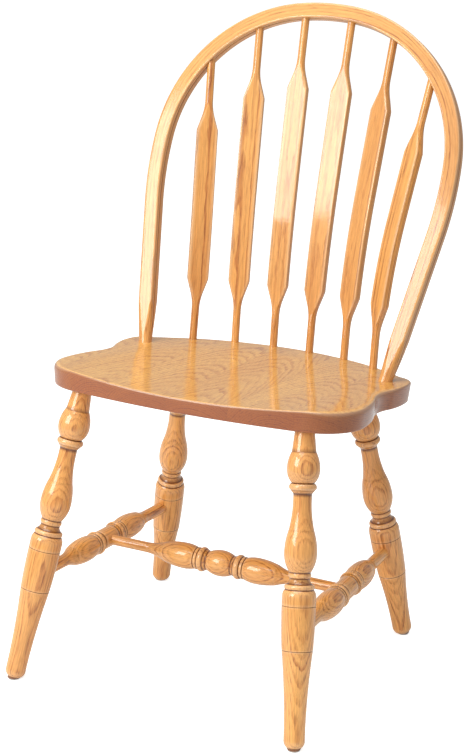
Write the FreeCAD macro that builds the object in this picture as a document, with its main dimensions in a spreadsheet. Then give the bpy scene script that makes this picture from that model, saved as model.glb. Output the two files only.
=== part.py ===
import FreeCAD, Part
import math
import os

import Sketcher

# A bow-back side chair with six arrow spindles, in oak. Millimetres, +Z up, the front faces -Y.
# Left and right are the sitter's, so left is +X. The origin is on the floor under the middle of the chair.

Vector = FreeCAD.Vector
Placement = FreeCAD.Placement
Rotation = FreeCAD.Rotation

doc = FreeCAD.newDocument("side_chair")
sheet = doc.addObject("Spreadsheet::Sheet", "sizes")

# Driving sizes, each with its own name. Lengths in mm, angles in degrees.
sizes = {
    # Seat board: height of its middle over the floor, its place, slope to the rear, thickness, edge flare
    "seatUndersideHeight": 421.4,
    "seatMiddleY": -4.1,
    "seatSlope": 4.86,
    "seatThickness": 32.0,
    "seatEdgeFlare": 8.5,
    # Outline of the underside, one side of the middle, in the board's own plane
    "seatFrontY": 202.0,
    "seatFrontCornerX": 182.0,
    "seatFrontCornerY": 187.0,
    "seatCornerX": 228.0,
    "seatCornerY": 161.0,
    "seatCheekX": 244.0,
    "seatCheekY": 107.0,
    "seatCheekBackX": 241.0,
    "seatCheekBackY": 79.0,
    "seatWaistFrontX": 232.5,
    "seatWaistFrontY": 42.0,
    "seatWaistX": 225.5,
    "seatWaistY": 6.0,
    "seatWaistBackX": 229.0,
    "seatWaistBackY": 27.0,
    "seatEarX": 235.4,
    "seatEarY": 62.0,
    "seatEarBackX": 233.0,
    "seatEarBackY": 90.0,
    "seatRearCornerX": 227.0,
    "seatRearCornerY": 101.0,
    "seatBackEndX": 214.0,
    "seatBackEndY": 109.0,
    "seatBackY": 184.5,
    # Saddle of the seat: half width and depth of the hollow at the front, in the middle and at its end
    "saddleFrontHalfWidth": 186.0,
    "saddleFrontDepth": 9.0,
    "saddleMiddleY": 60.0,
    "saddleMiddleHalfWidth": 196.0,
    "saddleMiddleDepth": 8.0,
    "saddleEndY": 118.0,
    "saddleEndHalfWidth": 120.0,
    "saddleEndDepth": 0.5,
    # Legs: socket on the underside, foot on the floor
    "frontLegSocketX": 181.7,
    "frontLegSocketY": 164.7,
    "frontLegFootX": 233.8,
    "frontLegFootY": 284.6,
    "rearLegSocketX": 153.1,
    "rearLegSocketY": 99.0,
    "rearLegFootX": 222.8,
    "rearLegFootY": 158.4,
    "legSocketDepth": 20.0,
    "footTrimLength": 20.0,
    # Glides under the feet
    "glideThickness": 2.5,
    "glideDiameter": 18.0,
    "glideRounding": 0.8,
    "glidePinDiameter": 2.5,
    "glidePinLength": 12.0,
    # Stretchers: distance of their joints down the legs, and their sockets
    "sideStretcherFrontDrop": 289.0,
    "sideStretcherRearDrop": 271.0,
    "sideStretcherSocketDepth": 20.0,
    "crossStretcherPlace": 184.6,
    "crossStretcherSocketDepth": 12.0,
    # Bow: its plane, its path along the front inner edge, and its section
    "bowLean": 22.6,
    "bowFootY": 57.3,
    "bowFootHalfWidth": 194.3,
    "bowStileAngle": 8.71,
    "bowStileLength": 233.6,
    "bowHaunchRadius": 532.6,
    "bowShoulderRadius": 220.7,
    "bowCrownRadius": 341.4,
    "bowHeight": 550.0,
    "bowWidth": 25.4,
    "bowDepth": 22.0,
    "bowArris": 2.6,
    "bowQuirkDepth": 1.2,
    "bowQuirkPlace": 4.8,
    "bowBeadWidth": 5.0,
    "bowBackArris": 2.2,
    "bowTenonDiameter": 21.0,
    "bowSocketDepth": 22.0,
    "bowFootCollar": 4.0,
    "bowTaperLength": 90.0,
    "bowTaperEndDiameter": 34.4,
    # Spindles: feet on the seat's top, tops on the bow's inner side, paddle and sockets
    "innerSpindleFootX": 31.7,
    "innerSpindleFootY": 177.9,
    "middleSpindleFootX": 95.9,
    "middleSpindleFootY": 168.4,
    "outerSpindleFootX": 157.9,
    "outerSpindleFootY": 139.3,
    "innerSpindleTopX": 39.4,
    "middleSpindleTopX": 114.9,
    "outerSpindleTopX": 188.5,
    "innerSpindleTurn": 4.0,
    "middleSpindleTurn": 10.0,
    "outerSpindleTurn": 18.0,
    "spindlePaddleThickness": 12.7,
    "spindleSeatSocketDepth": 19.0,
    "spindleBowSocketDepth": 13.0,
    # Fits: glue clearance all round a tenon, and past its tip
    "glueClearance": 0.075,
    "tipClearance": 1.0,
}

# Turned profiles, as a turner reads them: name, kind of point, length from the point before it, diameter.
# At a crest the surface runs parallel to the axis, so an arc from a corner ends square there.
leg_turning = [
    ("legTenon", "corner", 0.0, 29.0),
    ("legTenonEnd", "corner", 25.0, 29.0),
    ("legNeck", "corner", 27.0, 35.0),
    ("legBelly", "crest", 25.0, 47.6),
    ("legBellyEnd", "corner", 19.5, 32.6),
    ("legRing", "crest", 5.5, 39.9),
    ("legRingEnd", "corner", 4.0, 35.6),
    ("legWaist", "corner", 5.5, 26.8),
    ("legThroat", "crest", 9.5, 26.8),
    ("legVaseShoulder", "corner", 42.0, 36.6),
    ("legVase", "crest", 32.4, 46.9),
    ("legVaseEnd", "corner", 27.1, 30.2),
    ("legBead", "crest", 4.0, 32.6),
    ("legBeadEnd", "corner", 3.8, 29.2),
    ("legFlareStart", "crest", 0.9, 29.2),
    ("legFlareEnd", "corner", 8.8, 40.6),
    ("legBand", "crest", 3.0, 43.0),
    ("legBandEnd", "corner", 3.4, 40.6),
    ("legBarrelShoulder", "corner", 1.0, 42.6),
    ("legBarrel", "crest", 9.0, 48.5),
    ("legUpperLine", "corner", 12.6, 48.5),
    ("legUpperLineBottom", "corner", 0.7, 47.1),
    ("legUpperLineEnd", "crest", 0.7, 48.4),
    ("legLowerLine", "corner", 61.4, 44.5),
    ("legLowerLineBottom", "corner", 0.7, 43.2),
    ("legLowerLineEnd", "corner", 0.7, 44.3),
    ("legToe", "crest", "taper", 30.6),
    ("legToeEnd", "corner", 10.0, 20.0),
    ("legTrim", "corner", "footTrimLength", 20.0),
]

# Half of each stretcher, from its middle outwards
cross_turning = [
    ("crossBulb", "crest", 0.0, 40.6),
    ("crossBulbEnd", "corner", 19.5, 31.2),
    ("crossQuirk", "corner", 1.5, 29.6),
    ("crossCove", "corner", 6.0, 34.0),
    ("crossRing", "crest", 4.5, 38.4),
    ("crossRingEnd", "corner", 4.8, 32.4),
    ("crossBead", "crest", 3.4, 35.0),
    ("crossBeadEnd", "corner", 2.6, 32.4),
    ("crossVaseLip", "corner", 1.2, 34.6),
    ("crossVase", "crest", 18.5, 40.4),
    ("crossVaseSide", "corner", 34.0, 31.2),
    ("crossStem", "crest", 36.0, 16.3),
]

side_turning = [
    ("sideBarrel", "corner", 0.0, 32.0),
    ("sideBarrelEnd", "corner", 17.0, 32.0),
    ("sideQuirk", "corner", 1.5, 29.6),
    ("sideCove", "corner", 5.0, 34.0),
    ("sideRing", "crest", 4.5, 38.0),
    ("sideRingEnd", "corner", 4.8, 32.4),
    ("sideBead", "crest", 3.2, 35.0),
    ("sideBeadEnd", "corner", 2.6, 32.4),
    ("sideVaseLip", "corner", 1.2, 34.4),
    ("sideVase", "crest", 22.2, 39.0),
    ("sideVaseSide", "corner", 32.0, 31.0),
    ("sideStem", "crest", 26.0, 19.5),
]

# A spindle from its tip in the seat to its tip in the bow
spindle_turning = [
    ("spindleStem", "corner", 0.0, 12.5),
    ("spindleLowerStem", "crest", 83.0, 12.5),
    ("spindleLowerFlare", "corner", 17.5, 21.25),
    ("spindlePaddle", "crest", 17.5, 30.0),
    ("spindlePaddleEnd", "crest", "paddle", 30.0),
    ("spindleUpperFlare", "corner", 17.5, 21.25),
    ("spindleUpperStem", "crest", 17.5, 12.5),
    ("spindleStemEnd", "corner", 82.0, 12.5),
]

row_count = 0


def add_size(alias, number):
    """Put one number into the sheet under its name."""
    global row_count
    row_count += 1
    sheet.set("A%d" % row_count, alias)
    sheet.set("B%d" % row_count, "%.6f" % number)
    sheet.setAlias("B%d" % row_count, alias)


for alias, number in sizes.items():
    add_size(alias, number)
for turning in (leg_turning, cross_turning, side_turning, spindle_turning):
    for name, kind, step, diameter in turning:
        if not isinstance(step, str):
            add_size(name + "Length", step)
        add_size(name + "Diameter", diameter)
doc.recompute()


def value(expression):
    """The number that an expression over the sheet gives."""
    return float(sheet.evalExpression(expression.replace("sizes.", "")))


def size(alias):
    return float(sheet.get(alias))


def derive(alias, number):
    """Keep a worked-out length in the sheet, for the sketches that use it."""
    add_size(alias, number)
    sheet.recompute()
    return number


def origin_plane(body, role):
    for feature in body.Origin.OriginFeatures:
        if feature.Role == role:
            return feature
    raise RuntimeError("no plane " + role)


def new_sketch(body, name, role, offset=None):
    """A sketch on one of the body's own planes, lifted off it by an expression."""
    sketch = body.newObject("Sketcher::SketchObject", name)
    sketch.AttachmentSupport = [(origin_plane(body, role), "")]
    sketch.MapMode = "FlatFace"
    if offset:
        sketch.AttachmentOffset = Placement(Vector(0, 0, value(offset)), Rotation())
        sketch.setExpression("AttachmentOffset.Base.z", offset)
    return sketch


class Rules:
    """Constraints for one sketch, added in one go, some of them bound to expressions."""

    def __init__(self, sketch):
        self.sketch = sketch
        self.constraints = []
        self.expressions = []

    def add(self, kind, *numbers):
        self.constraints.append(Sketcher.Constraint(kind, *numbers))

    def bind(self, kind, edge, expression):
        """Bind a radius or a line's length to an expression."""
        self.expressions.append((len(self.constraints), expression))
        self.add(kind, edge, value(expression))

    def place(self, kind, first, second, expression):
        """Bind the distance of the second point from the first, along X or Y, to an expression."""
        number = value(expression)
        if abs(number) < 1e-9:
            self.add("Vertical" if kind == "DistanceX" else "Horizontal", *first, *second)
            return
        if number < 0:
            first, second = second, first
            expression = "-(" + expression + ")"
        self.expressions.append((len(self.constraints), expression))
        self.add(kind, *first, *second, abs(number))

    def apply(self):
        self.sketch.addConstraint(self.constraints)
        for index, expression in self.expressions:
            self.sketch.setExpression("Constraints[%d]" % index, expression)


origin_point = (-1, 1)


def arc_through(start, middle, end):
    """An arc through three points, drawn anticlockwise as sketches need it."""
    if (middle - start).cross(end - middle).z < 0:
        start, end = end, start
    return Part.Arc(start, middle, end)


def ends_of(sketch, edge, start):
    """The sketch's numbers for an edge's two ends, in the order in which the outline runs."""
    if sketch.Geometry[edge].StartPoint.distanceToPoint(start) < 1e-6:
        return (edge, 1), (edge, 2)
    return (edge, 2), (edge, 1)


def close_outline(sketch, corners, middles):
    """A closed outline through corners, each an (x, y) pair of expressions.

    An edge with an entry in middles is an arc through that point, and any other is straight.
    """
    rules = Rules(sketch)
    points = [Vector(value(x), value(y), 0) for x, y in corners]
    joints = []
    for i, start in enumerate(points):
        end = points[(i + 1) % len(points)]
        if i in middles:
            middle = Vector(value(middles[i][0]), value(middles[i][1]), 0)
            edge = sketch.addGeometry(arc_through(start, middle, end), False)
        else:
            edge = sketch.addGeometry(Part.LineSegment(start, end), False)
        joints.append(ends_of(sketch, edge, start))
    for i, (start, end) in enumerate(joints):
        following = joints[(i + 1) % len(joints)][0]
        rules.add("Coincident", *end, *following)
        rules.place("DistanceX", origin_point, start, corners[i][0])
        rules.place("DistanceY", origin_point, start, corners[i][1])
    for i, (x, y) in middles.items():
        point = sketch.addGeometry(Part.Point(Vector(value(x), value(y), 0)), True)
        rules.place("DistanceX", origin_point, (point, 1), x)
        rules.place("DistanceY", origin_point, (point, 1), y)
        rules.add("PointOnObject", point, 1, joints[i][0][0])
    rules.apply()


def turned_body(name, stations):
    """A body turned about its own Z axis, from its tip at the origin.

    Each station is kind, length from the station before and radius, both as expressions.
    """
    body = doc.addObject("PartDesign::Body", name)
    sketch = new_sketch(body, name + "_profile", "XZ_Plane")
    points = []
    along = 0.0
    for kind, step, radius in stations:
        along += value(step) if step else 0.0
        points.append(Vector(value(radius), along, 0))
    tip = Vector(0, 0, 0)
    end = Vector(0, along, 0)

    edges = [sketch.addGeometry(Part.LineSegment(tip, points[0]), False)]
    crests = {}
    for i in range(len(points) - 1):
        edge = profile_edge(points[i], points[i + 1], stations[i][0], stations[i + 1][0])
        edges.append(sketch.addGeometry(edge, False))
        if not isinstance(edge, Part.LineSegment):
            crests[len(edges) - 1] = i if stations[i][0] == "crest" else i + 1
    edges.append(sketch.addGeometry(Part.LineSegment(points[-1], end), False))
    edges.append(sketch.addGeometry(Part.LineSegment(end, tip), False))

    joints = []
    start = tip
    for number, edge in enumerate(edges):
        joints.append(ends_of(sketch, edge, start))
        start = points[number] if number < len(points) else end
    rules = Rules(sketch)
    for number, (first, last) in enumerate(joints):
        following = joints[(number + 1) % len(joints)][0]
        rules.add("Coincident", *last, *following)
    rules.add("Coincident", *joints[0][0], *origin_point)
    rules.add("Horizontal", edges[0])
    rules.add("Horizontal", edges[-2])
    rules.add("Vertical", edges[-1])
    for i, (kind, step, radius) in enumerate(stations):
        rules.place("DistanceX", origin_point, joints[i][1], radius)
        if step:
            rules.place("DistanceY", joints[i - 1][1], joints[i][1], step)
    for number, i in crests.items():
        crest = joints[number][0] if i == number - 1 else joints[number][1]
        rules.add("Horizontal", edges[number], 3, *crest)
    rules.apply()

    turned = body.newObject("PartDesign::Revolution", name + "_turned")
    turned.Profile = sketch
    turned.ReferenceAxis = (sketch, ["V_Axis"])
    turned.Angle = 360.0
    body.Tip = turned
    return body


def profile_edge(first, second, first_kind, second_kind):
    """A line, or an arc whose centre lies square to the axis at the crest."""
    same_width = abs(first.x - second.x) < 0.02
    if same_width or first_kind == second_kind:
        return Part.LineSegment(first, second)
    crest, corner = (first, second) if first_kind == "crest" else (second, first)
    rise = corner.y - crest.y
    centre_x = (crest.x ** 2 - corner.x ** 2 - rise ** 2) / (2 * (crest.x - corner.x))
    centre = Vector(centre_x, crest.y, 0)
    radius = abs(crest.x - centre_x)
    half_way = (first + second) * 0.5 - centre
    middle = centre + half_way * (radius / half_way.Length)
    return arc_through(first, middle, second)


def stations_of(turning, steps=None):
    """Sheet expressions for a turned profile. Steps gives the ones that are worked out."""
    stations = []
    for number, (name, kind, step, diameter) in enumerate(turning):
        if isinstance(step, str):
            step_size = "sizes." + (steps or {}).get(step, step)
        else:
            step_size = "sizes." + name + "Length"
        if number == 0:
            step_size = None
        stations.append((kind, step_size, "sizes." + name + "Diameter / 2"))
    return stations


def doubled(half, near_stem, far_stem):
    """A stretcher's whole profile from its half: stem, near half reversed, far half, stem."""
    outward = stations_of(half)
    stem_radius = outward[-1][2]
    whole = [("corner", None, stem_radius)]
    step = near_stem
    for number in range(len(outward) - 1, -1, -1):
        kind, own_step, radius = outward[number]
        whole.append((kind, step, radius))
        step = own_step
    whole += outward[1:]
    whole.append(("corner", far_stem, stem_radius))
    return whole


def direction(start, end):
    return (end - start).normalize()


def pointing(start, way, width=None):
    """A placement whose +Z points along way, and whose +X is as near as it can be to width."""
    if width is None:
        return Placement(start, Rotation(Vector(0, 0, 1), way))
    side = way.cross(width).normalize()
    return Placement(start, Rotation(side.cross(way), side, way, "ZXY"))


def cylinder(name, diameter, length, start, way):
    """A cylinder whose diameter and length are expressions."""
    rod = doc.addObject("Part::Cylinder", name)
    rod.setExpression("Radius", "(" + diameter + ") / 2")
    rod.setExpression("Height", length)
    rod.Placement = pointing(start, way)
    return rod


def socket(name, diameter, depth, mouth, inward, lead=10.0):
    """The round hole that holds a tenon, a little wider and deeper than it."""
    return cylinder(
        name,
        diameter + " + 2 * sizes.glueClearance",
        "%s + sizes.tipClearance + %.1f" % (depth, lead),
        mouth - inward * lead,
        inward,
    )


def carve(name, base, tools):
    """The finished sub-part: its stock with holes and trims cut from it."""
    tool = tools[0]
    if len(tools) > 1:
        tool = doc.addObject("Part::MultiFuse", name + "_cutters")
        tool.Shapes = tools
    part = doc.addObject("Part::Cut", name)
    part.Base = base
    part.Tool = tool
    return part


# Places that the pieces share
seat_place = Placement(
    Vector(0, size("seatMiddleY"), size("seatUndersideHeight")),
    Rotation(Vector(1, 0, 0), -size("seatSlope")),
)


def on_seat(x, y, lift=0.0):
    """A point in the seat board's own plane, lifted square to it."""
    return seat_place.multVec(Vector(x, y, lift))


legs = {}
for end, ahead in (("front", -1), ("rear", 1)):
    for side, across in (("left", 1), ("right", -1)):
        mouth = on_seat(across * size(end + "LegSocketX"), ahead * size(end + "LegSocketY"))
        foot = Vector(across * size(end + "LegFootX"), ahead * size(end + "LegFootY"), 0)
        legs[end, side] = (mouth, foot, direction(mouth, foot))


def turned_radius(turning, distance, taper):
    """The radius of a turned piece at a distance from its tip, between two of its points."""
    along = 0.0
    last_radius = turning[0][3] / 2
    for name, kind, step, diameter in turning[1:]:
        length = taper if step == "taper" else size(step if isinstance(step, str) else name + "Length")
        radius = size(name + "Diameter") / 2
        if along + length >= distance:
            share = (distance - along) / length
            return last_radius + (radius - last_radius) * share
        along += length
        last_radius = radius
    return last_radius


def length_of(turning):
    """The summed length of a profile's fixed steps."""
    return sum(size(name + "Length") for name, kind, step, diameter in turning if not isinstance(step, str))


# Legs
leg_taper = {}
for end in ("front", "rear"):
    mouth, foot, way = legs[end, "left"]
    length = (foot - mouth).Length + size("legSocketDepth")
    spare = 3.0
    leg_taper[end] = derive(end + "LegTaper", length - spare - length_of(leg_turning))

# Stretcher joints, on the legs' axes and on the side stretchers' axes
joints_front = {}
joints_rear = {}
joints_cross = {}
for side in ("left", "right"):
    front_mouth, front_foot, front_way = legs["front", side]
    rear_mouth, rear_foot, rear_way = legs["rear", side]
    joints_front[side] = front_mouth + front_way * size("sideStretcherFrontDrop")
    joints_rear[side] = rear_mouth + rear_way * size("sideStretcherRearDrop")
    run = direction(joints_front[side], joints_rear[side])
    joints_cross[side] = joints_front[side] + run * size("crossStretcherPlace")

leg_radius_front = turned_radius(
    leg_turning, size("sideStretcherFrontDrop") + size("legSocketDepth"), leg_taper["front"]
)
leg_radius_rear = turned_radius(
    leg_turning, size("sideStretcherRearDrop") + size("legSocketDepth"), leg_taper["rear"]
)
barrel_radius = size("sideBarrelDiameter") / 2

parts = []
for (end, side), (mouth, foot, way) in legs.items():
    name = "leg_%s_%s" % (end, side)
    stock = turned_body(name + "_turned", stations_of(leg_turning, {"taper": end + "LegTaper"}))
    stock.Placement = pointing(mouth - way * size("legSocketDepth"), way)

    floor = doc.addObject("Part::Box", name + "_floor")
    reach = 100.0
    floor.Length = reach
    floor.Width = reach
    floor.setExpression("Height", "%.1f + sizes.glideThickness" % reach)
    floor.Placement = Placement(Vector(foot.x - reach / 2, foot.y - reach / 2, -reach), Rotation())

    sole = foot - way * (size("glideThickness") / -way.z)
    pin_hole = socket(
        name + "_pin_hole", "sizes.glidePinDiameter", "sizes.glidePinLength", sole, Vector(0, 0, 1)
    )
    joint = joints_front[side] if end == "front" else joints_rear[side]
    other = joints_rear[side] if end == "front" else joints_front[side]
    radius = leg_radius_front if end == "front" else leg_radius_rear
    into = direction(other, joint)
    stretcher_hole = socket(
        name + "_stretcher_hole", "sizes.sideStemDiameter", "sizes.sideStretcherSocketDepth",
        joint - into * radius, into,
    )
    parts.append(carve(name, stock, [floor, pin_hole, stretcher_hole]))

    glide = turned_body(
        "glide_%s_%s" % (end, side),
        [
            ("corner", None, "sizes.glideDiameter / 2 - sizes.glideRounding"),
            ("crest", "sizes.glideRounding", "sizes.glideDiameter / 2"),
            ("corner", "sizes.glideThickness - sizes.glideRounding", "sizes.glideDiameter / 2"),
            ("corner", "0", "sizes.glidePinDiameter / 2"),
            ("corner", "sizes.glidePinLength", "sizes.glidePinDiameter / 2"),
        ],
    )
    glide.Placement = Placement(Vector(sole.x, sole.y, 0), Rotation())
    parts.append(glide)

# Side stretchers, from front to rear, and the cross stretcher between their barrels
run_length = (joints_rear["left"] - joints_front["left"]).Length
near_tip = leg_radius_front - size("sideStretcherSocketDepth")
far_tip = leg_radius_rear - size("sideStretcherSocketDepth")
side_half = length_of(side_turning)
derive("sideNearStem", size("crossStretcherPlace") - near_tip - side_half)
derive("sideFarStem", run_length - size("crossStretcherPlace") - far_tip - side_half)
cross_span = (joints_cross["left"] - joints_cross["right"]).Length
cross_tip = barrel_radius - size("crossStretcherSocketDepth")
derive("crossEndStem", cross_span / 2 - cross_tip - length_of(cross_turning))

for side, across in (("left", 1), ("right", -1)):
    name = "side_stretcher_" + side
    run = direction(joints_front[side], joints_rear[side])
    stock = turned_body(
        name + "_turned", doubled(side_turning, "sizes.sideNearStem", "sizes.sideFarStem")
    )
    stock.Placement = pointing(joints_front[side] + run * near_tip, run)
    into = Vector(across, 0, 0)
    hole = socket(
        name + "_hole", "sizes.crossStemDiameter", "sizes.crossStretcherSocketDepth",
        joints_cross[side] - into * barrel_radius, into,
    )
    parts.append(carve(name, stock, [hole]))

cross_stretcher = turned_body(
    "cross_stretcher", doubled(cross_turning, "sizes.crossEndStem", "sizes.crossEndStem")
)
cross_stretcher.Placement = pointing(
    joints_cross["right"] + Vector(cross_tip, 0, 0), Vector(1, 0, 0)
)
parts.append(cross_stretcher)

# Bow: its own frame has X across, Y up along the lean, Z square to its front face and forwards
bow_lean = math.radians(size("bowLean"))
bow_up = Vector(0, math.sin(bow_lean), math.cos(bow_lean))
bow_front = Vector(0, -math.cos(bow_lean), math.sin(bow_lean))
seat_top_middle = on_seat(0, size("bowFootY"), size("seatThickness"))
bow_place = Placement(seat_top_middle, Rotation(Vector(1, 0, 0), bow_up, bow_front, "ZXY"))

stile_angle = math.radians(size("bowStileAngle"))
stile_way = Vector(math.sin(stile_angle), math.cos(stile_angle), 0)
stile_side = Vector(math.cos(stile_angle), -math.sin(stile_angle), 0)


def circle_meeting(centre_a, reach_a, centre_b, reach_b):
    """The upper point at two given distances from two centres."""
    between = centre_b - centre_a
    gap = between.Length
    along = (reach_a ** 2 - reach_b ** 2 + gap ** 2) / (2 * gap)
    off = math.sqrt(reach_a ** 2 - along ** 2)
    unit = between.normalize()
    return centre_a + unit * along + Vector(-unit.y, unit.x, 0) * off


def bow_path_points():
    """Ends and centres of the half bow's path: stile, haunch, shoulder, crown."""
    foot = Vector(size("bowFootHalfWidth"), 0, 0)
    haunch_start = foot + stile_way * size("bowStileLength")
    haunch_centre = haunch_start - stile_side * size("bowHaunchRadius")
    apex = Vector(0, size("bowHeight"), 0)
    crown_centre = apex - Vector(0, size("bowCrownRadius"), 0)
    shoulder_centre = circle_meeting(
        haunch_centre, size("bowHaunchRadius") - size("bowShoulderRadius"),
        crown_centre, size("bowCrownRadius") - size("bowShoulderRadius"),
    )
    outward = direction(haunch_centre, shoulder_centre)
    shoulder_start = shoulder_centre + outward * size("bowShoulderRadius")
    upward = direction(crown_centre, shoulder_centre)
    crown_start = shoulder_centre + upward * size("bowShoulderRadius")
    return {
        "foot": foot, "haunch_start": haunch_start, "haunch_centre": haunch_centre,
        "shoulder_start": shoulder_start, "shoulder_centre": shoulder_centre,
        "crown_start": crown_start, "crown_centre": crown_centre, "apex": apex,
    }


def arc_about(centre, start, end):
    radius = (start - centre).Length
    half_way = (start + end) * 0.5 - centre
    return arc_through(start, centre + half_way * (radius / half_way.Length), end)


def draw_bow_path(sketch):
    """Half of the path, from the apex to the foot: three arcs and a straight stile, all tangent."""
    at = bow_path_points()
    crown = sketch.addGeometry(arc_about(at["crown_centre"], at["apex"], at["crown_start"]), False)
    shoulder = sketch.addGeometry(
        arc_about(at["shoulder_centre"], at["crown_start"], at["shoulder_start"]), False
    )
    haunch = sketch.addGeometry(
        arc_about(at["haunch_centre"], at["shoulder_start"], at["haunch_start"]), False
    )
    stile = sketch.addGeometry(Part.LineSegment(at["haunch_start"], at["foot"]), False)
    crown_ends = ends_of(sketch, crown, at["apex"])
    shoulder_ends = ends_of(sketch, shoulder, at["crown_start"])
    haunch_ends = ends_of(sketch, haunch, at["shoulder_start"])
    rules = Rules(sketch)
    rules.add("Tangent", *crown_ends[1], *shoulder_ends[0])
    rules.add("Tangent", *shoulder_ends[1], *haunch_ends[0])
    rules.add("Tangent", *haunch_ends[1], stile, 1)
    rules.add("PointOnObject", *crown_ends[0], -2)
    rules.add("PointOnObject", crown, 3, -2)
    rules.add("PointOnObject", stile, 2, -1)
    rules.place("DistanceX", origin_point, (stile, 2), "sizes.bowFootHalfWidth")
    rules.place("DistanceY", origin_point, crown_ends[0], "sizes.bowHeight")
    rules.bind("Radius", crown, "sizes.bowCrownRadius")
    rules.bind("Radius", shoulder, "sizes.bowShoulderRadius")
    rules.bind("Radius", haunch, "sizes.bowHaunchRadius")
    rules.bind("Distance", stile, "sizes.bowStileLength")
    rules.apply()


def bow_section():
    """Corners and arc middles of the bow's section, at the apex: across is up, and depth is back."""
    width = "sizes.bowWidth"
    quirk = "sizes.bowQuirkDepth"
    quirk_at = "sizes.bowQuirkPlace"
    bead_end = "(sizes.bowQuirkPlace + sizes.bowBeadWidth)"
    corner = "(1 - sqrt(0.5))"

    def side(sign):
        # Inner side counts from the path, outer side from the path plus the width
        base = "sizes.bowHeight" if sign > 0 else "sizes.bowHeight + " + width
        inward = " + " if sign > 0 else " - "

        def at(across, depth):
            return (base + inward + across, "-(" + depth + ")")

        points = [
            at("sizes.bowArris", "0"),
            at("0", "sizes.bowArris"),
            at("0", quirk_at + " - " + quirk),
            at(quirk, quirk_at),
            at(quirk, bead_end),
            at("0", bead_end + " + " + quirk),
            at("0", "sizes.bowDepth - sizes.bowBackArris"),
            at("sizes.bowBackArris", "sizes.bowDepth"),
        ]
        arcs = {
            0: at("sizes.bowArris * " + corner, "sizes.bowArris * " + corner),
            3: at("0", "(" + quirk_at + " + " + bead_end + ") / 2"),
            6: at("sizes.bowBackArris * " + corner,
                  "sizes.bowDepth - sizes.bowBackArris * " + corner),
        }
        return points, arcs

    inner, inner_arcs = side(1)
    outer, outer_arcs = side(-1)
    corners = inner + outer[::-1]
    middles = dict(inner_arcs)
    for number, middle in outer_arcs.items():
        middles[len(inner) + len(outer) - 2 - number] = middle
    return corners, middles


half_bow = doc.addObject("PartDesign::Body", "half_bow")
path = new_sketch(half_bow, "bow_path", "XY_Plane")
draw_bow_path(path)
section = new_sketch(half_bow, "bow_section", "YZ_Plane")
close_outline(section, *bow_section())
moulding = half_bow.newObject("PartDesign::AdditivePipe", "bow_moulding")
moulding.Profile = section
moulding.Spine = path
half_bow.Tip = moulding
half_bow.Placement = bow_place

# The bow's foot: the stile tapers to a round tenon, which starts clear of the sloping seat
foot_middle = Vector(size("bowFootHalfWidth"), 0, 0) + stile_side * (size("bowWidth") / 2)
foot_middle = foot_middle + Vector(0, 0, -size("bowDepth") / 2)
foot_point = bow_place.multVec(foot_middle)
foot_way = bow_place.Rotation.multVec(stile_way)
seat_normal = seat_place.Rotation.multVec(Vector(0, 0, 1))
to_seat = (on_seat(0, 0, size("seatThickness")) - foot_point).dot(seat_normal) / foot_way.dot(seat_normal)
bow_mouth = foot_point + foot_way * to_seat
collar = bow_mouth + foot_way * size("bowFootCollar")

taper = doc.addObject("Part::Cone", "bow_taper")
taper.setExpression("Radius1", "sizes.bowTenonDiameter / 2")
taper.setExpression("Radius2", "sizes.bowTaperEndDiameter / 2")
taper.setExpression("Height", "sizes.bowTaperLength")
taper.Placement = pointing(collar, foot_way)
below = 20.0
waste_block = doc.addObject("Part::Box", "bow_foot_block")
waste_side = 80.0
waste_block.Length = waste_side
waste_block.Width = waste_side
waste_block.setExpression("Height", "sizes.bowTaperLength + %.1f" % below)
block_place = pointing(collar - foot_way * below, foot_way)
block_place.Base = block_place.multVec(Vector(-waste_side / 2, -waste_side / 2, 0))
waste_block.Placement = block_place
waste = doc.addObject("Part::Cut", "bow_foot_waste")
waste.Base = waste_block
waste.Tool = taper
shaped = doc.addObject("Part::Cut", "half_bow_shaped")
shaped.Base = half_bow
shaped.Tool = waste
lap = 2.0
tenon = cylinder(
    "bow_tenon", "sizes.bowTenonDiameter",
    "sizes.bowSocketDepth + sizes.bowFootCollar + %.1f" % lap,
    bow_mouth - foot_way * size("bowSocketDepth"), foot_way,
)
half = doc.addObject("Part::Fuse", "half_bow_with_tenon")
half.Base = shaped
half.Tool = tenon
other_half = doc.addObject("Part::Mirroring", "other_half_bow")
other_half.Source = half
other_half.Base = Vector(0, 0, 0)
other_half.Normal = Vector(1, 0, 0)
bow_stock = doc.addObject("Part::Fuse", "bow_stock")
bow_stock.Base = half
bow_stock.Tool = other_half
bow_stock.Refine = True

# Spindles, numbered from -X to +X
path_at = bow_path_points()


def bow_inner_height(x):
    """How high the bow's inner side stands over its foot at a distance from the middle."""
    shoulder = path_at["shoulder_centre"]
    if x < path_at["crown_start"].x:
        centre, radius = path_at["crown_centre"], size("bowCrownRadius")
    else:
        centre, radius = shoulder, size("bowShoulderRadius")
    return centre.y + math.sqrt(radius ** 2 - (x - centre.x) ** 2)


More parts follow.
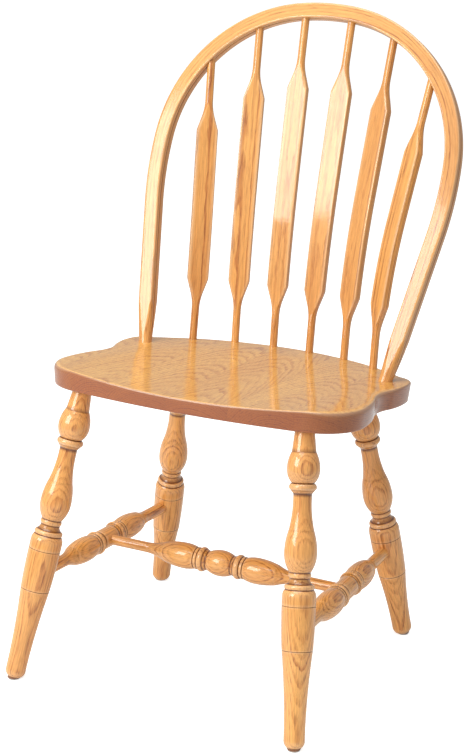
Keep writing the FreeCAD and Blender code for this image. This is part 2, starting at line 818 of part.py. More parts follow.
bow_holes = []
seat_holes = []
places = [("outer", -1), ("middle", -1), ("inner", -1), ("inner", 1), ("middle", 1), ("outer", 1)]
for number, (place, across) in enumerate(places, 1):
    name = "spindle_%d" % number
    foot = on_seat(
        across * size(place + "SpindleFootX"), size(place + "SpindleFootY"), size("seatThickness")
    )
    top_x = size(place + "SpindleTopX")
    top = bow_place.multVec(Vector(across * top_x, bow_inner_height(top_x), -size("bowDepth") / 2))
    way = direction(foot, top)
    span = (top - foot).Length + size("spindleSeatSocketDepth") + size("spindleBowSocketDepth")
    paddle = place + "SpindlePaddle"
    if across < 0:
        derive(paddle, span - length_of(spindle_turning))
    turn = math.radians(across * size(place + "SpindleTurn"))
    width_way = Vector(math.cos(turn), -math.sin(turn), 0)
    stock = turned_body(name + "_turned", stations_of(spindle_turning, {"paddle": paddle}))
    stock.Placement = pointing(foot - way * size("spindleSeatSocketDepth"), way, width_way)
    slab = doc.addObject("Part::Box", name + "_slab")
    slab.setExpression("Length", "2 * sizes.spindlePaddleDiameter")
    slab.setExpression("Width", "sizes.spindlePaddleThickness")
    slab.Height = span
    slab_place = Placement(stock.Placement)
    corner = Vector(-size("spindlePaddleDiameter"), -size("spindlePaddleThickness") / 2, 0)
    slab_place.Base = stock.Placement.multVec(corner)
    slab.Placement = slab_place
    spindle = doc.addObject("Part::Common", name)
    spindle.Base = stock
    spindle.Tool = slab
    parts.append(spindle)
    stem = "sizes.spindleStemDiameter"
    bow_holes.append(socket(name + "_bow_hole", stem, "sizes.spindleBowSocketDepth", top, way))
    seat_holes.append(
        socket(name + "_seat_hole", stem, "sizes.spindleSeatSocketDepth", foot, way * -1)
    )
bow = carve("bow", bow_stock, bow_holes)
parts.append(bow)

# Seat board: underside and top outlines joined by a flaring edge, then the saddle
# Each point: its x, its y with the sign, and how far the flare moves it across and back
seat_points = [
    ("seatFrontCornerX", "seatFrontCornerY", -1, 0.45, -0.95),
    ("seatCheekX", "seatCheekY", -1, 1.0, 0.0),
    ("seatWaistFrontX", "seatWaistFrontY", -1, 1.0, 0.2),
    ("seatWaistBackX", "seatWaistBackY", 1, 1.0, -0.1),
    ("seatEarBackX", "seatEarBackY", 1, 1.0, 0.25),
    ("seatBackEndX", "seatBackEndY", 1, 0.5, 0.87),
]
seat_middles = [
    ("seatCornerX", "seatCornerY", -1, 0.85, -0.55),
    ("seatCheekBackX", "seatCheekBackY", -1, 1.0, 0.1),
    ("seatWaistX", "seatWaistY", 1, 1.0, 0.0),
    ("seatEarX", "seatEarY", 1, 1.0, 0.0),
    ("seatRearCornerX", "seatRearCornerY", 1, 0.85, 0.6),
]


def seat_outline(flare):
    """Corners and arc middles all round, anticlockwise from the front left, with the flare added."""
    def at(point, across):
        x, y, ahead, flare_x, flare_y = point
        return (
            "%d * (sizes.%s + %s * %s)" % (across, x, flare_x, flare),
            "%d * sizes.%s + %s * %s" % (ahead, y, flare_y, flare),
        )
    corners = [at(point, 1) for point in seat_points]
    corners += [at(point, -1) for point in reversed(seat_points)]
    count = len(seat_points)
    middles = {}
    for number, point in enumerate(seat_middles):
        middles[number] = at(point, 1)
        middles[2 * count - 2 - number] = at(point, -1)
    middles[count - 1] = ("0", "sizes.seatBackY + " + flare)
    middles[2 * count - 1] = ("0", "-(sizes.seatFrontY + " + flare + ")")
    return corners, middles


seat_body = doc.addObject("PartDesign::Body", "seat_board")
underside = new_sketch(seat_body, "underside_outline", "XY_Plane")
close_outline(underside, *seat_outline("0"))
top_outline = new_sketch(seat_body, "top_outline", "XY_Plane", "sizes.seatThickness")
close_outline(top_outline, *seat_outline("sizes.seatEdgeFlare"))
board = seat_body.newObject("PartDesign::AdditiveLoft", "board")
board.Profile = underside
board.Sections = [top_outline]
doc.recompute()
board_volume = seat_body.Shape.Volume

saddle_sketches = []
for stage, place in (
    ("Front", "sizes.seatFrontY + 3 * sizes.seatEdgeFlare"),
    ("Middle", "sizes.saddleMiddleY"),
    ("End", "-sizes.saddleEndY"),
):
    sketch = new_sketch(seat_body, "saddle_" + stage.lower(), "XZ_Plane", place)
    half_width = "sizes.saddle%sHalfWidth" % stage
    depth = "sizes.saddle%sDepth" % stage
    top = "sizes.seatThickness"
    above = "2 * sizes.seatThickness"
    close_outline(
        sketch,
        [("-" + half_width, top), (half_width, top), (half_width, above), ("-" + half_width, above)],
        {0: ("0", top + " - " + depth)},
    )
    saddle_sketches.append(sketch)
saddle = seat_body.newObject("PartDesign::SubtractiveLoft", "saddle")
saddle.Profile = saddle_sketches[0]
saddle.Sections = saddle_sketches[1:]
seat_body.Tip = saddle
doc.recompute()
if not seat_body.Shape.Volume < board_volume - 1000:
    raise RuntimeError("the saddle cut nothing")
seat_body.Placement = seat_place

for (end, side), (mouth, foot, way) in legs.items():
    seat_holes.append(socket(
        "seat_leg_hole_%s_%s" % (end, side), "sizes.legTenonDiameter", "sizes.legSocketDepth",
        mouth, way * -1,
    ))
for side, across in (("left", 1), ("right", -1)):
    mouth = Vector(across * bow_mouth.x, bow_mouth.y, bow_mouth.z)
    into = Vector(-across * foot_way.x, -foot_way.y, -foot_way.z)
    seat_holes.append(socket(
        "seat_bow_hole_" + side, "sizes.bowTenonDiameter", "sizes.bowSocketDepth", mouth, into
    ))
seat = carve("seat", seat_body, seat_holes)
parts.append(seat)

doc.recompute()
faults = []
for item in doc.Objects:
    if "Invalid" in item.State or "Error" in item.State:
        faults.append(item.Label + " " + str(item.State))
for item in parts:
    if item.Shape.isNull() or not item.Shape.isValid() or len(item.Shape.Solids) != 1:
        faults.append(item.Label + " has no single valid solid")
if faults:
    raise RuntimeError("; ".join(faults))

os.makedirs("parts", exist_ok=True)
for item in parts:
    item.Shape.exportStep("parts/%s.step" % item.Label)
    box = item.Shape.optimalBoundingBox()
    print("%-22s volume %.0f mm3, z %.1f to %.1f" % (item.Label, item.Shape.Volume, box.ZMin, box.ZMax))
print("pieces", len(parts))
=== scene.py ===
import math

import bpy
import numpy as np
from mathutils import Matrix, Vector


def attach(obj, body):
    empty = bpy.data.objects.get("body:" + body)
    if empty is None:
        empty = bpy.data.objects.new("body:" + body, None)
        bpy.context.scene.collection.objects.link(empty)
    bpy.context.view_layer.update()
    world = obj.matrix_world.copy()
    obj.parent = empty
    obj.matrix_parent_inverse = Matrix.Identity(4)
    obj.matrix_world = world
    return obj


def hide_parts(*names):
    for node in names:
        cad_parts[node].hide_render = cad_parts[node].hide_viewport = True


# A bow-back side chair in lacquered oak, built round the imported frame.
# Shapes are worked out in millimetres in the frame's own axes and turned into metres at the mesh.

milli = 0.001
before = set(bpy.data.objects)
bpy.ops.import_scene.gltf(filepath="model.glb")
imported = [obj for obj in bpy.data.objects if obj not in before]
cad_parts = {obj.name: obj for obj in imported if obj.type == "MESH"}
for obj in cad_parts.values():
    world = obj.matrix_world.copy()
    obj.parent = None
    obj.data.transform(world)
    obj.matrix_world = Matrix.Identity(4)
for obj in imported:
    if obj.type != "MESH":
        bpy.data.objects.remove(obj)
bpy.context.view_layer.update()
scene = bpy.context.scene
scene.view_settings.view_transform = "Standard"
print("frame loaded")

# Camera at the photo's angle
camera = {
    "place": (1.2085, -2.4845, 1.2876),
    "right": (0.8939, 0.4476, 0.0232),
    "up": (-0.1517, 0.2534, 0.9554),
    "back": (0.4218, -0.8576, 0.2944),
    "lens": 90.34,
}
eye = bpy.data.objects.new("eye", bpy.data.cameras.new("eye"))
eye.data.lens = camera["lens"]
eye.data.sensor_width = 36.0
eye.data.clip_end = 60.0
turn = Matrix((camera["right"], camera["up"], camera["back"])).transposed()
eye.matrix_world = Matrix.Translation(camera["place"]) @ turn.to_4x4()
scene.collection.objects.link(eye)
scene.camera = eye
print("camera placed")


# Nodes
def addNode(tree, kind, **settings):
    made = tree.nodes.new(kind)
    for key, setting in settings.items():
        setattr(made, key, setting)
    return made


def feed(tree, target, source):
    # Links a socket, or sets the constant on it
    if isinstance(source, bpy.types.NodeSocket):
        tree.links.new(source, target)
    else:
        target.default_value = source


def feedAll(tree, made, values):
    for name, source in values.items():
        feed(tree, made.inputs[name], source)
    return made.outputs


def calc(tree, operation, *values, clamp=False):
    made = addNode(tree, "ShaderNodeMath", operation=operation, use_clamp=clamp)
    for socket, given in zip(made.inputs, values):
        feed(tree, socket, given)
    return made.outputs[0]


def vectorCalc(tree, operation, first, second):
    made = addNode(tree, "ShaderNodeVectorMath", operation=operation)
    feed(tree, made.inputs[0], first)
    if operation == "SCALE":
        feed(tree, made.inputs["Scale"], second)
    elif second is not None:
        feed(tree, made.inputs[1], second)
    return made.outputs["Value"] if operation in ("LENGTH", "DOT_PRODUCT") else made.outputs["Vector"]


def between(tree, given, low, high, toLow=0.0, toHigh=1.0):
    made = addNode(tree, "ShaderNodeMapRange", interpolation_type="SMOOTHSTEP")
    limits = {"Value": given, "From Min": low, "From Max": high, "To Min": toLow, "To Max": toHigh}
    return feedAll(tree, made, limits)["Result"]


def noise(tree, point, scale, detail=2.0, roughness=0.5):
    made = addNode(tree, "ShaderNodeTexNoise")
    feedAll(tree, made, {"Vector": point, "Scale": scale, "Detail": detail, "Roughness": roughness})
    return made


def bump(tree, strength, distance, height):
    made = addNode(tree, "ShaderNodeBump")
    return feedAll(tree, made, {"Strength": strength, "Distance": distance, "Height": height})[0]


# Places of the sockets that a mix node uses for colours, because their names repeat
mixSocket = {"share": 0, "first": 6, "second": 7, "result": 2}


def mixColour(tree, share, first, second, blend="MIX"):
    made = addNode(tree, "ShaderNodeMix", data_type="RGBA", blend_type=blend)
    feed(tree, made.inputs[mixSocket["share"]], share)
    feed(tree, made.inputs[mixSocket["first"]], first)
    feed(tree, made.inputs[mixSocket["second"]], second)
    return made.outputs[mixSocket["result"]]


def newGroup(name, inputs, outputs):
    # A shared node group with its two end nodes
    kinds = {"vector": "NodeSocketVector", "value": "NodeSocketFloat", "colour": "NodeSocketColor"}
    group = bpy.data.node_groups.new(name, "ShaderNodeTree")
    for socket, kind in inputs:
        group.interface.new_socket(name=socket, in_out="INPUT", socket_type=kinds[kind])
    for socket, kind in outputs:
        group.interface.new_socket(name=socket, in_out="OUTPUT", socket_type=kinds[kind])
    return group, addNode(group, "NodeGroupInput").outputs, addNode(group, "NodeGroupOutput").inputs


def useGroup(tree, group, values):
    return feedAll(tree, addNode(tree, "ShaderNodeGroup", node_tree=group), values)


def newMaterial(name):
    material = bpy.data.materials.new(name)
    material.use_nodes = True
    tree = material.node_tree
    tree.nodes.clear()
    output = addNode(tree, "ShaderNodeOutputMaterial")
    shader = addNode(tree, "ShaderNodeBsdfPrincipled")
    tree.links.new(shader.outputs[0], output.inputs["Surface"])
    return material, tree, shader


# Growth rings, pores and fibres of oak, from a point in metres whose z runs along the grain.
# The scales are per millimetre, and the last number of three is the one along the grain.
grain = {
    "slow": (1.0, 1.0, 0.16), "drift": 0.022, "ripple": 0.13, "rippleShare": 0.9, "tone": 0.012,
    "ramp": [(0.1, 1.0), (0.3, 0.75), (0.55, 0.08)], "rampEnds": (0.15, 0.12), "faintestRing": 0.35,
    "dash": (0.44, 0.44, 0.026), "dashEdge": (0.48, 0.66), "dashOutside": 0.15,
    "fine": (1.2, 1.2, 0.05), "fineEdge": (0.56, 0.7), "fineOutside": 0.3,
    "fibre": (0.9, 0.9, 0.018), "fibreRelief": 0.35,
}
oakFigure, given, result = newGroup(
    "oakFigure",
    [("Point", "vector"), ("Ring Spacing", "value"), ("Waviness", "value")],
    [
        ("Early Wood", "value"), ("Pores", "value"), ("Fibre", "value"), ("Tone", "value"),
        ("Relief", "value"),
    ],
)
tree = oakFigure
inMillimetres = vectorCalc(tree, "SCALE", given["Point"], 1 / milli)
slowAlong = vectorCalc(tree, "MULTIPLY", inMillimetres, grain["slow"])
drift = noise(tree, slowAlong, grain["drift"])
driftCentred = vectorCalc(tree, "SUBTRACT", drift.outputs["Color"], (0.5, 0.5, 0.5))
driftPush = vectorCalc(tree, "SCALE", driftCentred, given["Waviness"])
warped = vectorCalc(tree, "ADD", inMillimetres, driftPush)
ripple = noise(tree, slowAlong, grain["ripple"])
flat = vectorCalc(tree, "MULTIPLY", warped, (1.0, 1.0, 0.0))
fromPith = vectorCalc(tree, "LENGTH", flat, None)
ringPlace = calc(tree, "DIVIDE", fromPith, given["Ring Spacing"])
rippled = calc(tree, "MULTIPLY_ADD", ripple.outputs["Fac"], grain["rippleShare"], ringPlace)
inRing = calc(tree, "FRACT", rippled)
ringShape = addNode(tree, "ShaderNodeValToRGB")
feed(tree, ringShape.inputs["Fac"], inRing)
stops = ringShape.color_ramp.elements
for stop, grey in zip(stops, grain["rampEnds"]):
    stop.color = (grey, grey, grey, 1.0)
for inWidth, grey in grain["ramp"]:
    stops.new(inWidth).color = (grey, grey, grey, 1.0)
ringNumber = calc(tree, "FLOOR", rippled)
ringChance = addNode(tree, "ShaderNodeTexWhiteNoise", noise_dimensions="1D")
feed(tree, ringChance.inputs["W"], ringNumber)
ringWeight = between(tree, ringChance.outputs["Value"], 0.0, 1.0, grain["faintestRing"], 1.0)
early = calc(tree, "MULTIPLY", ringShape.outputs["Color"], ringWeight)
poreKinds = []
for kind, detail in (("dash", 3.0), ("fine", 2.0)):
    poreNoise = noise(tree, vectorCalc(tree, "MULTIPLY", warped, grain[kind]), 1.0, detail, 0.6)
    poreMask = between(tree, poreNoise.outputs["Fac"], *grain[kind + "Edge"])
    outside = grain[kind + "Outside"]
    inEarly = calc(tree, "MULTIPLY_ADD", early, 1 - outside, outside)
    poreKinds.append(calc(tree, "MULTIPLY", poreMask, inEarly))
pores = calc(tree, "MAXIMUM", *poreKinds, clamp=True)
fibrePoint = vectorCalc(tree, "MULTIPLY", warped, grain["fibre"])
fibre = noise(tree, fibrePoint, 1.0, 3.0, 0.65)
tone = noise(tree, slowAlong, grain["tone"])
fibreHeight = calc(tree, "MULTIPLY", fibre.outputs["Fac"], grain["fibreRelief"])
relief = calc(tree, "SUBTRACT", fibreHeight, pores)
feed(tree, result["Early Wood"], early)
feed(tree, result["Pores"], pores)
feed(tree, result["Fibre"], fibre.outputs["Fac"])
feed(tree, result["Tone"], between(tree, tone.outputs["Fac"], 0.3, 0.7))
feed(tree, result["Relief"], relief)

# Boards glued side by side: each board gets its own place in a log. Pairs are the least and how much more.
boardCut = {
    "pithSpread": 0.07, "pithTilt": (0.06, 0.1), "pithDepth": (0.05, 0.03), "apart": 3.0,
    "glueLine": 0.006, "glueHollow": 0.35, "toneSpread": 0.7,
}
boardPlace, given, result = newGroup(
    "boardPlace",
    [("Point", "vector"), ("Board Width", "value"), ("First Joint", "value")],
    [("Point", "vector"), ("Chance", "value"), ("Joint", "value")],
)
tree = boardPlace
parted = addNode(tree, "ShaderNodeSeparateXYZ")
feed(tree, parted.inputs[0], given["Point"])
fromFirst = calc(tree, "SUBTRACT", parted.outputs["X"], given["First Joint"])
across = calc(tree, "DIVIDE", fromFirst, given["Board Width"])
share = calc(tree, "FRACT", across)
chance = addNode(tree, "ShaderNodeTexWhiteNoise", noise_dimensions="1D")
feed(tree, chance.inputs["W"], calc(tree, "FLOOR", across))
chanceParts = addNode(tree, "ShaderNodeSeparateColor")
feed(tree, chanceParts.inputs[0], chance.outputs["Color"])
centred = calc(tree, "MULTIPLY", calc(tree, "SUBTRACT", share, 0.5), given["Board Width"])
spread = boardCut["pithSpread"]
pithAcross = calc(tree, "MULTIPLY_ADD", chanceParts.outputs[0], spread, -spread / 2)
least, more = boardCut["pithTilt"]
pithTilt = calc(tree, "MULTIPLY_ADD", chanceParts.outputs[1], more, least)
tilted = calc(tree, "MULTIPLY", parted.outputs["Z"], pithTilt)
least, more = boardCut["pithDepth"]
pithDepth = calc(tree, "MULTIPLY_ADD", chanceParts.outputs[2], more, least)
joined = addNode(tree, "ShaderNodeCombineXYZ")
logPoint = feedAll(tree, joined, {
    "X": calc(tree, "ADD", centred, pithAcross),
    "Y": calc(tree, "ADD", calc(tree, "ADD", parted.outputs["Y"], pithDepth), tilted),
    "Z": calc(tree, "MULTIPLY_ADD", chance.outputs["Value"], boardCut["apart"], parted.outputs["Z"]),
})
fromJoint = calc(tree, "MINIMUM", share, calc(tree, "SUBTRACT", 1.0, share))
feed(tree, result["Point"], logPoint[0])
feed(tree, result["Chance"], chance.outputs["Value"])
feed(tree, result["Joint"], between(tree, fromJoint, 0.0, boardCut["glueLine"], 1.0, 0.0))

# Stained oak under lacquer: rings and pores darken it, hollows hold stain, and arrises are painted lighter,
# partly as rubbed wear and partly as a painted highlight
stain = {
    "tone": 0.4, "fibre": (0.84, 1.12), "pores": 0.95, "hollow": 0.95, "burnt": (0.55, 0.5, 0.5, 1.0),
    "arris": 0.225, "rubbedAndHighlit": (1.0, 0.86, 0.6, 1.0),
}
oakColour, given, result = newGroup(
    "oakColour",
    [
        ("Early Wood", "value"), ("Pores", "value"), ("Fibre", "value"), ("Tone", "value"),
        ("Hollow", "value"), ("Arris", "value"), ("End Grain", "value"),
        ("Light", "colour"), ("Deep", "colour"), ("Pore Stain", "colour"), ("End Stain", "colour"),
        ("Figure", "value"),
    ],
    [("Colour", "colour")],
)
tree = oakColour
toneShare = calc(tree, "MULTIPLY", given["Tone"], stain["tone"])
byTone = mixColour(tree, toneShare, given["Light"], given["Deep"])
fibreShade = between(tree, given["Fibre"], 0.3, 0.7, *stain["fibre"])
byFibre = mixColour(tree, 1.0, byTone, fibreShade, "MULTIPLY")
ringShare = calc(tree, "MULTIPLY", given["Early Wood"], given["Figure"])
byRing = mixColour(tree, ringShare, byFibre, given["Deep"])
poreShare = calc(tree, "MULTIPLY", given["Pores"], stain["pores"])
byPore = mixColour(tree, poreShare, byRing, given["Pore Stain"])
byEnd = mixColour(tree, given["End Grain"], byPore, given["End Stain"], "MULTIPLY")
burnt = mixColour(tree, 1.0, given["Pore Stain"], stain["burnt"], "MULTIPLY")
hollowShare = calc(tree, "MULTIPLY", given["Hollow"], stain["hollow"])
byHollow = mixColour(tree, hollowShare, byEnd, burnt)
# Painted highlight with wear: arrises are mixed towards a pale colour, for rubbed wear and for the light
# line they catch
wearAndHighlightShare = calc(tree, "MULTIPLY", given["Arris"], stain["arris"])
feed(tree, result["Colour"], mixColour(tree, wearAndHighlightShare, byHollow, stain["rubbedAndHighlit"]))

# Lacquer: the wood shows a little through it, and it lies in soft waves. Depths are in metres.
film = {
    "woodStrength": 0.5, "woodDepth": 0.0003, "waveDepth": 0.0008, "waveScale": 95.0,
    "waveStretch": (1.0, 1.0, 0.3), "woodInWaves": 0.06, "smudgeScale": 14.0, "roughness": (0.05, 0.13),
}
lacquer, given, result = newGroup(
    "lacquer",
    [("Point", "vector"), ("Relief", "value"), ("Waves", "value")],
    [("Wood Normal", "vector"), ("Lacquer Normal", "vector"), ("Roughness", "value")],
)
tree = lacquer
wavePoint = vectorCalc(tree, "MULTIPLY", given["Point"], film["waveStretch"])
waves = noise(tree, wavePoint, film["waveScale"], 3.0, 0.55)
waveHeight = calc(tree, "MULTIPLY_ADD", given["Relief"], film["woodInWaves"], waves.outputs["Fac"])
smudge = noise(tree, given["Point"], film["smudgeScale"], 3.0, 0.6)
feed(tree, result["Wood Normal"], bump(tree, film["woodStrength"], film["woodDepth"], given["Relief"]))
feed(tree, result["Lacquer Normal"], bump(tree, given["Waves"], film["waveDepth"], waveHeight))
feed(tree, result["Roughness"], between(tree, smudge.outputs["Fac"], 0.25, 0.75, *film["roughness"]))


def oakMaterial(name, recipe):
    material, tree, shader = newMaterial(name)
    stick = addNode(tree, "ShaderNodeAttribute", attribute_name="stick")
    form = addNode(tree, "ShaderNodeAttribute", attribute_name="form")
    formParts = addNode(tree, "ShaderNodeSeparateXYZ")
    feed(tree, formParts.inputs[0], form.outputs["Vector"])
    point = stick.outputs["Vector"]
    hollow = formParts.outputs["X"]
    toneShift = 0.0
    if "boards" in recipe:
        board = useGroup(tree, boardPlace, {
            "Point": point, "Board Width": recipe["boards"], "First Joint": recipe["firstJoint"],
        })
        point = board["Point"]
        glueHollow = calc(tree, "MULTIPLY", board["Joint"], boardCut["glueHollow"])
        hollow = calc(tree, "MAXIMUM", hollow, glueHollow)
        spread = boardCut["toneSpread"]
        toneShift = calc(tree, "MULTIPLY_ADD", board["Chance"], spread, -spread / 2)
    figure = useGroup(tree, oakFigure, {
        "Point": point, "Ring Spacing": recipe["spacing"], "Waviness": recipe["waviness"],
    })
    tinting = {
        "Early Wood": figure["Early Wood"], "Pores": figure["Pores"], "Fibre": figure["Fibre"],
        "Tone": calc(tree, "ADD", figure["Tone"], toneShift, clamp=True), "Hollow": hollow,
        "Arris": formParts.outputs["Y"], "Light": recipe["light"], "Deep": recipe["deep"],
        "Pore Stain": recipe["pore"], "Figure": recipe["figure"],
    }
    if "end" in recipe:
        tinting.update({"End Grain": formParts.outputs["Z"], "End Stain": recipe["end"]})
    colour = useGroup(tree, oakColour, tinting)
    coat = useGroup(tree, lacquer, {
        "Point": stick.outputs["Vector"], "Relief": figure["Relief"], "Waves": recipe["waves"],
    })
    feedAll(tree, shader, {
        "Base Color": colour["Colour"], "Roughness": 0.42, "Specular IOR Level": 0.35,
        "Normal": coat["Wood Normal"], "Coat Weight": 1.0, "Coat IOR": 1.5,
        "Coat Roughness": coat["Roughness"], "Coat Normal": coat["Lacquer Normal"],
    })
    return material


# Ring spacing and waviness in millimetres, board width and first joint in metres
seatOak = oakMaterial("seatOak", {
    "boards": 0.098, "firstJoint": -0.021, "spacing": 3.3, "waviness": 8.0, "figure": 0.9, "waves": 0.2,
    "light": (0.82, 0.45, 0.115, 1.0), "deep": (0.57, 0.235, 0.045, 1.0),
    "pore": (0.3, 0.085, 0.015, 1.0), "end": (0.45, 0.215, 0.1, 1.0),
})
bowOak = oakMaterial("bowOak", {
    "spacing": 2.6, "waviness": 3.4, "figure": 0.85, "waves": 0.2,
    "light": (0.78, 0.39, 0.105, 1.0), "deep": (0.49, 0.17, 0.034, 1.0),
    "pore": (0.24, 0.062, 0.013, 1.0),
})
turnedOak = oakMaterial("turnedOak", {
    "spacing": 2.5, "waviness": 3.6, "figure": 0.9, "waves": 0.22,
    "light": (0.94, 0.475, 0.135, 1.0), "deep": (0.57, 0.195, 0.042, 1.0),
    "pore": (0.22, 0.055, 0.012, 1.0),
})
spindleOak = oakMaterial("spindleOak", {
    "spacing": 2.4, "waviness": 2.8, "figure": 0.9, "waves": 0.2,
    "light": (0.8, 0.4, 0.11, 1.0), "deep": (0.44, 0.14, 0.028, 1.0),
    "pore": (0.23, 0.06, 0.013, 1.0),
})

# Nickel-plated steel of the glides, with fine marks from pressing and sliding
pressed, given, result = newGroup(
    "pressed", [("Point", "vector")], [("Colour", "colour"), ("Roughness", "value"), ("Normal", "vector")]
)
tree = pressed
grit = noise(tree, given["Point"], 900.0, 4.0, 0.6)
stain = noise(tree, given["Point"], 120.0, 3.0, 0.6)
darker = between(tree, stain.outputs["Fac"], 0.35, 0.7)
feed(tree, result["Colour"], mixColour(tree, darker, (0.62, 0.6, 0.57, 1.0), (0.42, 0.4, 0.38, 1.0)))
feed(tree, result["Roughness"], between(tree, grit.outputs["Fac"], 0.3, 0.7, 0.22, 0.42))
feed(tree, result["Normal"], bump(tree, 0.15, 0.1 * milli, grit.outputs["Fac"]))
glideSteel, tree, shader = newMaterial("glideSteel")
coordinates = addNode(tree, "ShaderNodeTexCoord")
metal = useGroup(tree, pressed, {"Point": coordinates.outputs["Object"]})
feedAll(tree, shader, {
    "Base Color": metal["Colour"], "Metallic": 1.0, "Roughness": metal["Roughness"],
    "Normal": metal["Normal"],
})
print("materials made")


# Geometry helpers
def unit(way):
    way = np.asarray(way, float)
    return way / np.linalg.norm(way)


def axesAlong(way, towards):
    # Rows are the local X, Y and Z axes: Z along way, and X as near to towards as it can be
    z = unit(way)
    x = unit(towards - np.dot(towards, z) * z)
    return np.stack([x, np.cross(z, x), z])


def rotated(points, degrees):
    # Turned about X
    a = math.radians(degrees)
    y = points[..., 1] * math.cos(a) - points[..., 2] * math.sin(a)
    z = points[..., 1] * math.sin(a) + points[..., 2] * math.cos(a)
    return np.stack([points[..., 0], y, z], axis=-1)


def makePiece(name, points, stick, form, material, sharp=40.0):
    # A closed tube of rings, capped at both ends. The rings run anticlockwise about the way they follow.
    rows, columns = points.shape[:2]
    first = np.arange(rows - 1)[:, None] * columns + np.arange(columns)[None, :]
    second = np.roll(first, -1, axis=1)
    quads = np.stack([first, second, second + columns, first + columns], axis=-1).reshape(-1, 4)
    ring = np.arange(columns)
    following = np.roll(ring, -1)
    last = (rows - 1) * columns
    count = rows * columns
    startCap = np.stack([np.full(columns, count), following, ring], axis=-1)
    endCap = np.stack([np.full(columns, count + 1), ring + last, following + last], axis=-1)

    def flatten(grid):
        ends = [grid[0].mean(axis=0, keepdims=True), grid[-1].mean(axis=0, keepdims=True)]
        return np.concatenate([grid.reshape(-1, grid.shape[-1])] + ends)

    mesh = bpy.data.meshes.new(name)
    faces = quads.tolist() + startCap.tolist() + endCap.tolist()
    mesh.from_pydata((flatten(points) * milli).tolist(), [], faces)
    for label, grid in (("stick", stick), ("form", form)):
        layer = mesh.attributes.new(label, "FLOAT_VECTOR", "POINT")
        layer.data.foreach_set("vector", flatten(grid).astype(np.float32).ravel())
    mesh.shade_smooth()
    mesh.set_sharp_from_angle(angle=math.radians(sharp))
    mesh.materials.append(material)
    piece = bpy.data.objects.new(name + "_oak", mesh)
    scene.collection.objects.link(piece)
    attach(piece, "root")
    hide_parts(name)


# How closely curves and straights are stepped: points, millimetres and degrees
stepping = {"leastPoints": 5, "arc": 2.0, "arcDegrees": 6, "straight": 6}


def arcBetween(crest, corner):
    # Points from the crest to the corner on the arc that is level at the crest: (distance, radius)
    rise = corner[0] - crest[0]
    centre = (crest[1] ** 2 - corner[1] ** 2 - rise ** 2) / (2 * (crest[1] - corner[1]))
    radius = crest[1] - centre
    sweep = math.asin(max(-1.0, min(1.0, abs(rise) / abs(radius))))
    byLength = int(abs(radius) * sweep / stepping["arc"])
    byAngle = int(math.degrees(sweep) / stepping["arcDegrees"])
    steps = max(stepping["leastPoints"], byLength, byAngle)
    angle = np.linspace(0.0, sweep, steps)
    along = crest[0] + np.sign(rise) * abs(radius) * np.sin(angle)
    return np.stack([along, centre + radius * np.cos(angle)], axis=-1)


def softened(line, cut):
    # Rounds each corner of a line by a small cut, so that it catches the light
    gentle = 0.2
    mostOfSide = 0.4
    out = [line[0]]
    for before, point, after in zip(line[:-2], line[1:-1], line[2:]):
        a = point - before
        b = after - point
        lengthA = np.linalg.norm(a)
        lengthB = np.linalg.norm(b)
        if math.acos(max(-1.0, min(1.0, float(a @ b) / (lengthA * lengthB)))) < gentle:
            out.append(point)
            continue
        size = min(cut, mostOfSide * lengthA, mostOfSide * lengthB)
        start = point - a / lengthA * size
        end = point + b / lengthB * size
        out += [start, 0.25 * start + 0.5 * point + 0.25 * end, end]
    out.append(line[-1])
    return np.array(out)


def turnedLine(stations, cut=0.45):
    # Distance and radius down a turned piece, from (kind, step, diameter) stations
    places = np.cumsum([step for kind, step, diameter in stations])
    points = [(place, diameter / 2) for place, (kind, step, diameter) in zip(places, stations)]
    line = [np.array([points[0]])]
    for i in range(len(points) - 1):
        a, b = points[i], points[i + 1]
        kindA, kindB = stations[i][0], stations[i + 1][0]
        if abs(a[1] - b[1]) < 0.01 or kindA == kindB:
            pieces = max(2, int(abs(b[0] - a[0]) / stepping["straight"]) + 1)
            line.append(np.linspace(a, b, pieces + 1)[1:])
        elif kindA == "crest":
            line.append(arcBetween(a, b)[1:])
        else:
            line.append(arcBetween(b, a)[::-1][1:])
    return softened(np.concatenate(line), cut)


def formOf(place, height, reach=1.8, depth=0.2):
    # Hollow and arris shares of a line, from how far it lies under or over its own average nearby. The
    # arris share paints crests lighter, as rubbed wear and as a painted highlight.
    step = 0.1
    even = np.arange(place[0], place[-1], step)
    level = np.interp(even, place, height)
    width = int(reach / step)
    window = 2 * width + 1
    average = np.convolve(np.pad(level, width, mode="edge"), np.ones(window) / window, mode="valid")
    under = np.interp(place, even, average - level)
    return np.clip(under / depth, 0, 1), np.clip(-under / depth, 0, 1)


def alongLine(line, place):
    # Radius of a turned line at a distance down it
    return np.interp(place, line[:, 0], line[:, 1])


def pithPlace(chance, nearest):
    # Where a log's pith lies from the piece's own axis, in metres: away from it, sideways and along
    return nearest + 0.03 * chance[0], 0.03 * (chance[1] - 0.5), 2.0 * chance[2]


print("helpers ready")

